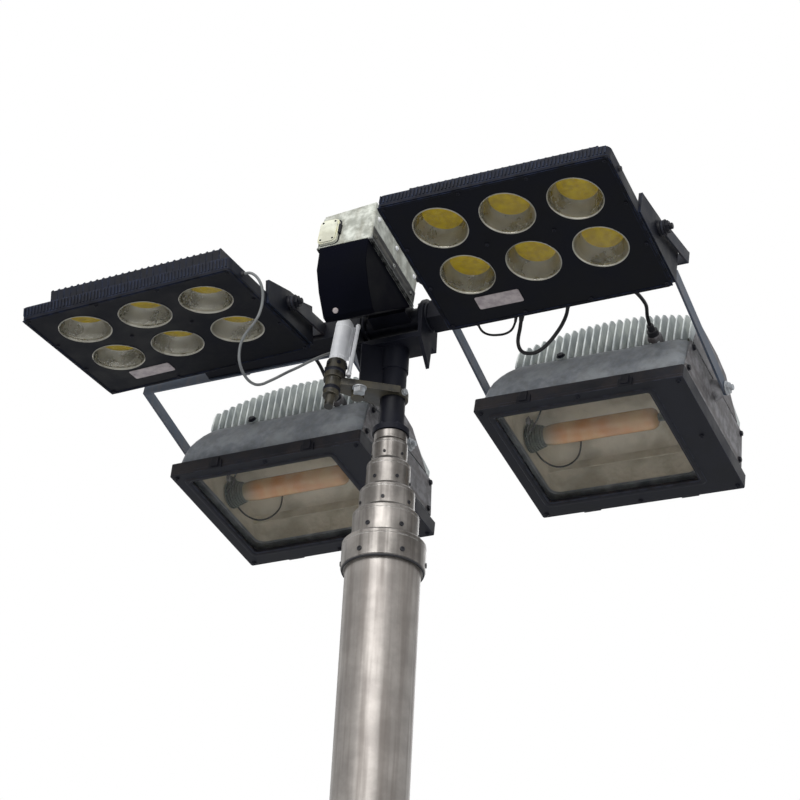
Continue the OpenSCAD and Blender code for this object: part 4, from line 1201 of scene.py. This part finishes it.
def halide_lamp(side):
    place, body = halide_places[side], "halide_lamp_" + side
    bm = bmesh.new()
    shell = [
        (-78, -229, 232, -205, 183.5, 26), (-66, -229, 232, -205, 183.5, 27),
        (-54, -227, 232, -203.5, 183, 29),
        (-40, -224, 231.5, -201, 182, 31), (-24, -220, 231, -198, 179, 34), (-8, -212, 231, -193, 174, 37),
        (4, -203, 230.5, -187, 169, 38), (14, -193, 230, -180, 163, 37), (22, -184, 230, -172, 157, 34),
        (27, -170, 229, -160, 150, 30),
    ]
    inside = [
        (-78, -206, 148, -174, 156, 24), (-20, -206, 148, -172, 154, 24), (24, -160, 128, -134, 126, 24),
    ]
    outer = skin(bm, [ring_at(*row) for row in shell], caps=False)
    bm.faces.new(outer[-1])
    inner = skin(bm, [ring_at(*row) for row in inside], caps=False)
    for i in range(len(outer[0])):
        j = (i + 1) % len(outer[0])
        bm.faces.new((outer[0][j], outer[0][i], inner[0][i], inner[0][j]))
    bm.faces.new(list(reversed(inner[-1])))
    make("halide_shell_" + side, bm, body, "halide_casting", place, bevel=0.0,
         replaces=("halide_housing_" + side,), smooth=30)

    bm = bmesh.new()
    steps = 14
    rings = []
    for k in range(steps + 1):
        x = -168 + k * 396 / steps
        back = 0.45 * crown(x) + 14
        rings.append([(x, 24, -112), (x, back - 12, -104), (x, back, -88), (x, back, 108),
                      (x, back - 10, 122),
                      (x, 24, 132)])
    skin(bm, rings)
    # The core between the ribs takes the near-black root finish: painted shade between the ribs.
    make("halide_core_" + side, bm, body, "fin_gap_shade", place, bevel=1.5)

    bm = bmesh.new()
    for x in rib_places:
        top = crown(x)
        line = [(24, -168), (38, -168), (top - 52, -122), (top - 34, -92), (top - 14, -52), (top, -10),
                (top, 122), (top - 3, 132), (top - 10, 142), (top - 26, 149), (36, 154), (24, 154)]
        rings = []
        for y, z in line:
            half = 2.2 - 1.1 * max(0, min(1, (y - 24) / (top - 24)))
            rings.append(((x + 1.5 - half, y, z), (x + 1.5 + half, y, z)))
        near = [bm.verts.new(r[0]) for r in rings]
        far = [bm.verts.new(r[1]) for r in rings]
        bm.faces.new(near)
        bm.faces.new(list(reversed(far)))
        for i in range(len(near)):
            j = (i + 1) % len(near)
            bm.faces.new((near[i], far[i], far[j], near[j]))
    # The ribs take the paler rib finish: painted light on the ribs.
    make("halide_ribs_" + side, bm, body, "halide_rib", place, bevel=0.5)

    bm = bmesh.new()
    turned(bm, [(15, 112), (16, 118), (16, 160), (14.5, 166)],
           Matrix.Translation((150, 0, 0)) @ Matrix.Rotation(radians(-15), 4, "X"), 40)
    side_wall = [(-70, -190), (18, -178), (18, 150), (-70, 172)]
    skin(bm, [[(x, y, z) for y, z in side_wall] for x in (229, 233.5)])
    rear_wall = [(24, -150), (90, -60), (100, 0), (100, 112), (24, 138)]
    skin(bm, [[(x, y, z) for y, z in rear_wall] for x in (228, 232)])
    for s, foot in ((-1, 196), (1, 230)):
        out = Matrix.Translation((s * foot, 0, 0)) @ axis_turn((s, 0, 0))
        turned(bm, [(25, -8), (25, 6), (22, 9), (17, 252 - foot)], out, 40)
    # Side and rear covers take the darker side finish: painted shade, mottled by stains.
    make("halide_covers_" + side, bm, body, "halide_side_shaded", place, bevel=1.2)

    bm = bmesh.new()
    for y, z in ((-60, -172), (8, -168), (8, 138), (-60, 156)):
        hex_bolt(bm, Matrix.Translation((233.5, y, z)) @ axis_turn((1, 0, 0)), 7, 4, washer=15)
    hex_bolt(bm, Matrix.Translation((-60, 27, 162)) @ axis_turn((0, 0.4, 1)), 9, 5, washer=20)
    for z in (-150, -60, 60, 140):
        block(bm, -243, -236, -96, -74, z - 14, z + 14)
    make("halide_screws_" + side, bm, body, "black_steel", place, bevel=0.5)

    bm = bmesh.new()
    pivot_hardware(bm, 246, 256)
    make("halide_pivots_" + side, bm, body, "galvanised_steel", place, bevel=0.4)
    softened("halide_gland_" + side, "gland_plastic", 0.8)

    # Front frame: pressed rim, sloped inner lip, chamfered corners.
    bm = bmesh.new()
    chamfer = 3
    outline = [(-237 + chamfer, -211), (237 - chamfer, -211), (237, -211 + chamfer), (237, 191 - chamfer),
               (237 - chamfer, 191), (-237 + chamfer, 191), (-237, 191 - chamfer), (-237, -211 + chamfer)]
    opening = soft_rectangle(-200, 150, -160, 155, 6, 3)
    pierced_plate(bm, outline, [opening], -110, -102)
    rows = [[(x, y, z) for x, z in outline] for y in (-102.5, -78)]
    skin(bm, rows, caps=False)
    inner_rim = [(x * 0.985, z * 0.985) for x, z in outline]
    skin(bm, [[(x, y, z) for x, z in inner_rim] for y in (-102.5, -78)], caps=False)
    lip = [[(x, -110, z) for x, z in soft_rectangle(-203, 153, -163, 158, 8, 3)],
           [(x, -113, z) for x, z in soft_rectangle(-206, 156, -166, 161, 9, 3)],
           [(x, -113, z) for x, z in soft_rectangle(-212, 162, -172, 167, 11, 3)],
           [(x, -109.5, z) for x, z in soft_rectangle(-215, 165, -175, 170, 12, 3)]]
    skin(bm, lip, caps=False)
    make("halide_rim_" + side, bm, body, "halide_frame", place, bevel=1.2,
         replaces=("halide_frame_" + side,))
    bm = bmesh.new()
    for x, z in ((-224, -198), (0, -200), (224, -198), (-224, 178), (0, 180), (224, 178), (208, -10)):
        hex_bolt(bm, Matrix.Translation((x, -110, z)) @ axis_turn((0, -1, 0)), 6, 3, washer=12, socket=True)
    for x in (-120, 110):
        block(bm, x - 16, x + 16, -111, -92, 190, 195)
        block(bm, x - 9, x + 9, -108, -84, 193, 198)
        block(bm, x - 20, x + 20, -108, -80, -216, -211)
    make("halide_clips_" + side, bm, body, "black_steel", place, bevel=0.5)
    bm = bmesh.new()
    pierced_plate(bm, soft_rectangle(-207, 157, -167, 162, 5, 3), [], -101.5, -97.5)
    make("halide_pane_" + side, bm, body, "halide_glass", place, bevel=0.0,
         replaces=("halide_glass_" + side,))

    bm = bmesh.new()
    trough = [
        (-77, -200, 141, -168, 150, 22), (-60, -199.5, 140, -166, 148, 23), (-45, -199, 139, -162, 145, 25),
        (-28, -198, 137.5, -155, 140, 27), (-12, -196, 135, -146, 134, 30), (2, -178, 131, -136, 127, 30),
        (12, -155, 124, -124, 116, 28), (19, -132, 108, -104, 98, 24), (22, -104, 86, -74, 70, 18),
    ]
    rows = skin(bm, [ring_at(*row) for row in trough], caps=False)
    bm.faces.new(list(reversed(rows[-1])))
    make("halide_trough_" + side, bm, body, "reflector", place, bevel=0.0,
         replaces=("halide_reflector_" + side,), smooth=50)
    bm = bmesh.new()
    for z in (-128, 112):
        skin(bm, [[(x, -50, z - 1.5), (x, -30, z - 1.5), (x, -30, z + 1.5), (x, -50, z + 1.5)]
                  for x in (-198, 138)])
    make("halide_braces_" + side, bm, body, "reflector", place, bevel=0.0)

    along = Matrix.Translation((0, -42, -10)) @ axis_turn((1, 0, 0))
    bm = bmesh.new()
    turned(bm, [(19, -166), (20, -158), (22, -150), (23.5, -138), (24, -120), (24, 84), (23, 94), (19, 101),
                (12, 105), (6, 107), (0, 107.5)], along, 48)
    make("halide_tube_" + side, bm, body, "bulb", place, bevel=0.0,
         replaces=("halide_bulb_" + side,), smooth=60)
    bm = bmesh.new()
    ribs = [(30, -196)]
    for k in range(6):
        z = -195 + 6 * k
        ribs += [(33 - k * 1.6, z), (33 - k * 1.6, z + 3), (27 - k, z + 3.6), (27 - k, z + 5.6)]
    turned(bm, ribs + [(21, -156)], along, 40)
    turned(bm, [(9, 104), (9, 122), (6, 123)], along, 24)
    block(bm, 112, 118, -42, 20, -24, 4)
    block(bm, -194, -186, -20, 0, -28, 8)
    make("halide_holder_" + side, bm, body, "ceramic", place, bevel=0.5)
    bm = bmesh.new()
    for wires in (
        [(-190, -60, -30), (-178, -72, -58), (-156, -76, -80), (-134, -62, -96), (-120, -36, -106),
         (-116, -8, -106), (-114, 18, -96), (-112, 34, -84)],
        [(-190, -58, 16), (-174, -70, 40), (-154, -72, 62), (-132, -58, 84), (-118, -32, 98), (-112, 0, 98),
         (-110, 18, 88), (-108, 34, 76)],
    ):
        swept(bm, smooth_route(wires), 4, 10)
    make("halide_wires_" + side, bm, body, "gland_plastic", place, bevel=0.0, smooth=60)


for side in ("left", "right"):
    halide_lamp(side)
print("halide lamps done")

# %% [markdown]
# ## Last look
# The last cell lists every drawn piece left without a finish and counts the faces drawn.

# %% Finish
loose = [o.name for o in scene.objects if o.type == "MESH" and not o.material_slots and not o.hide_render]
print("pieces without a finish:", loose)
drawn = [o for o in scene.objects if o.type == "MESH" and not o.hide_render]
print("faces drawn:", sum(len(o.data.polygons) for o in drawn))
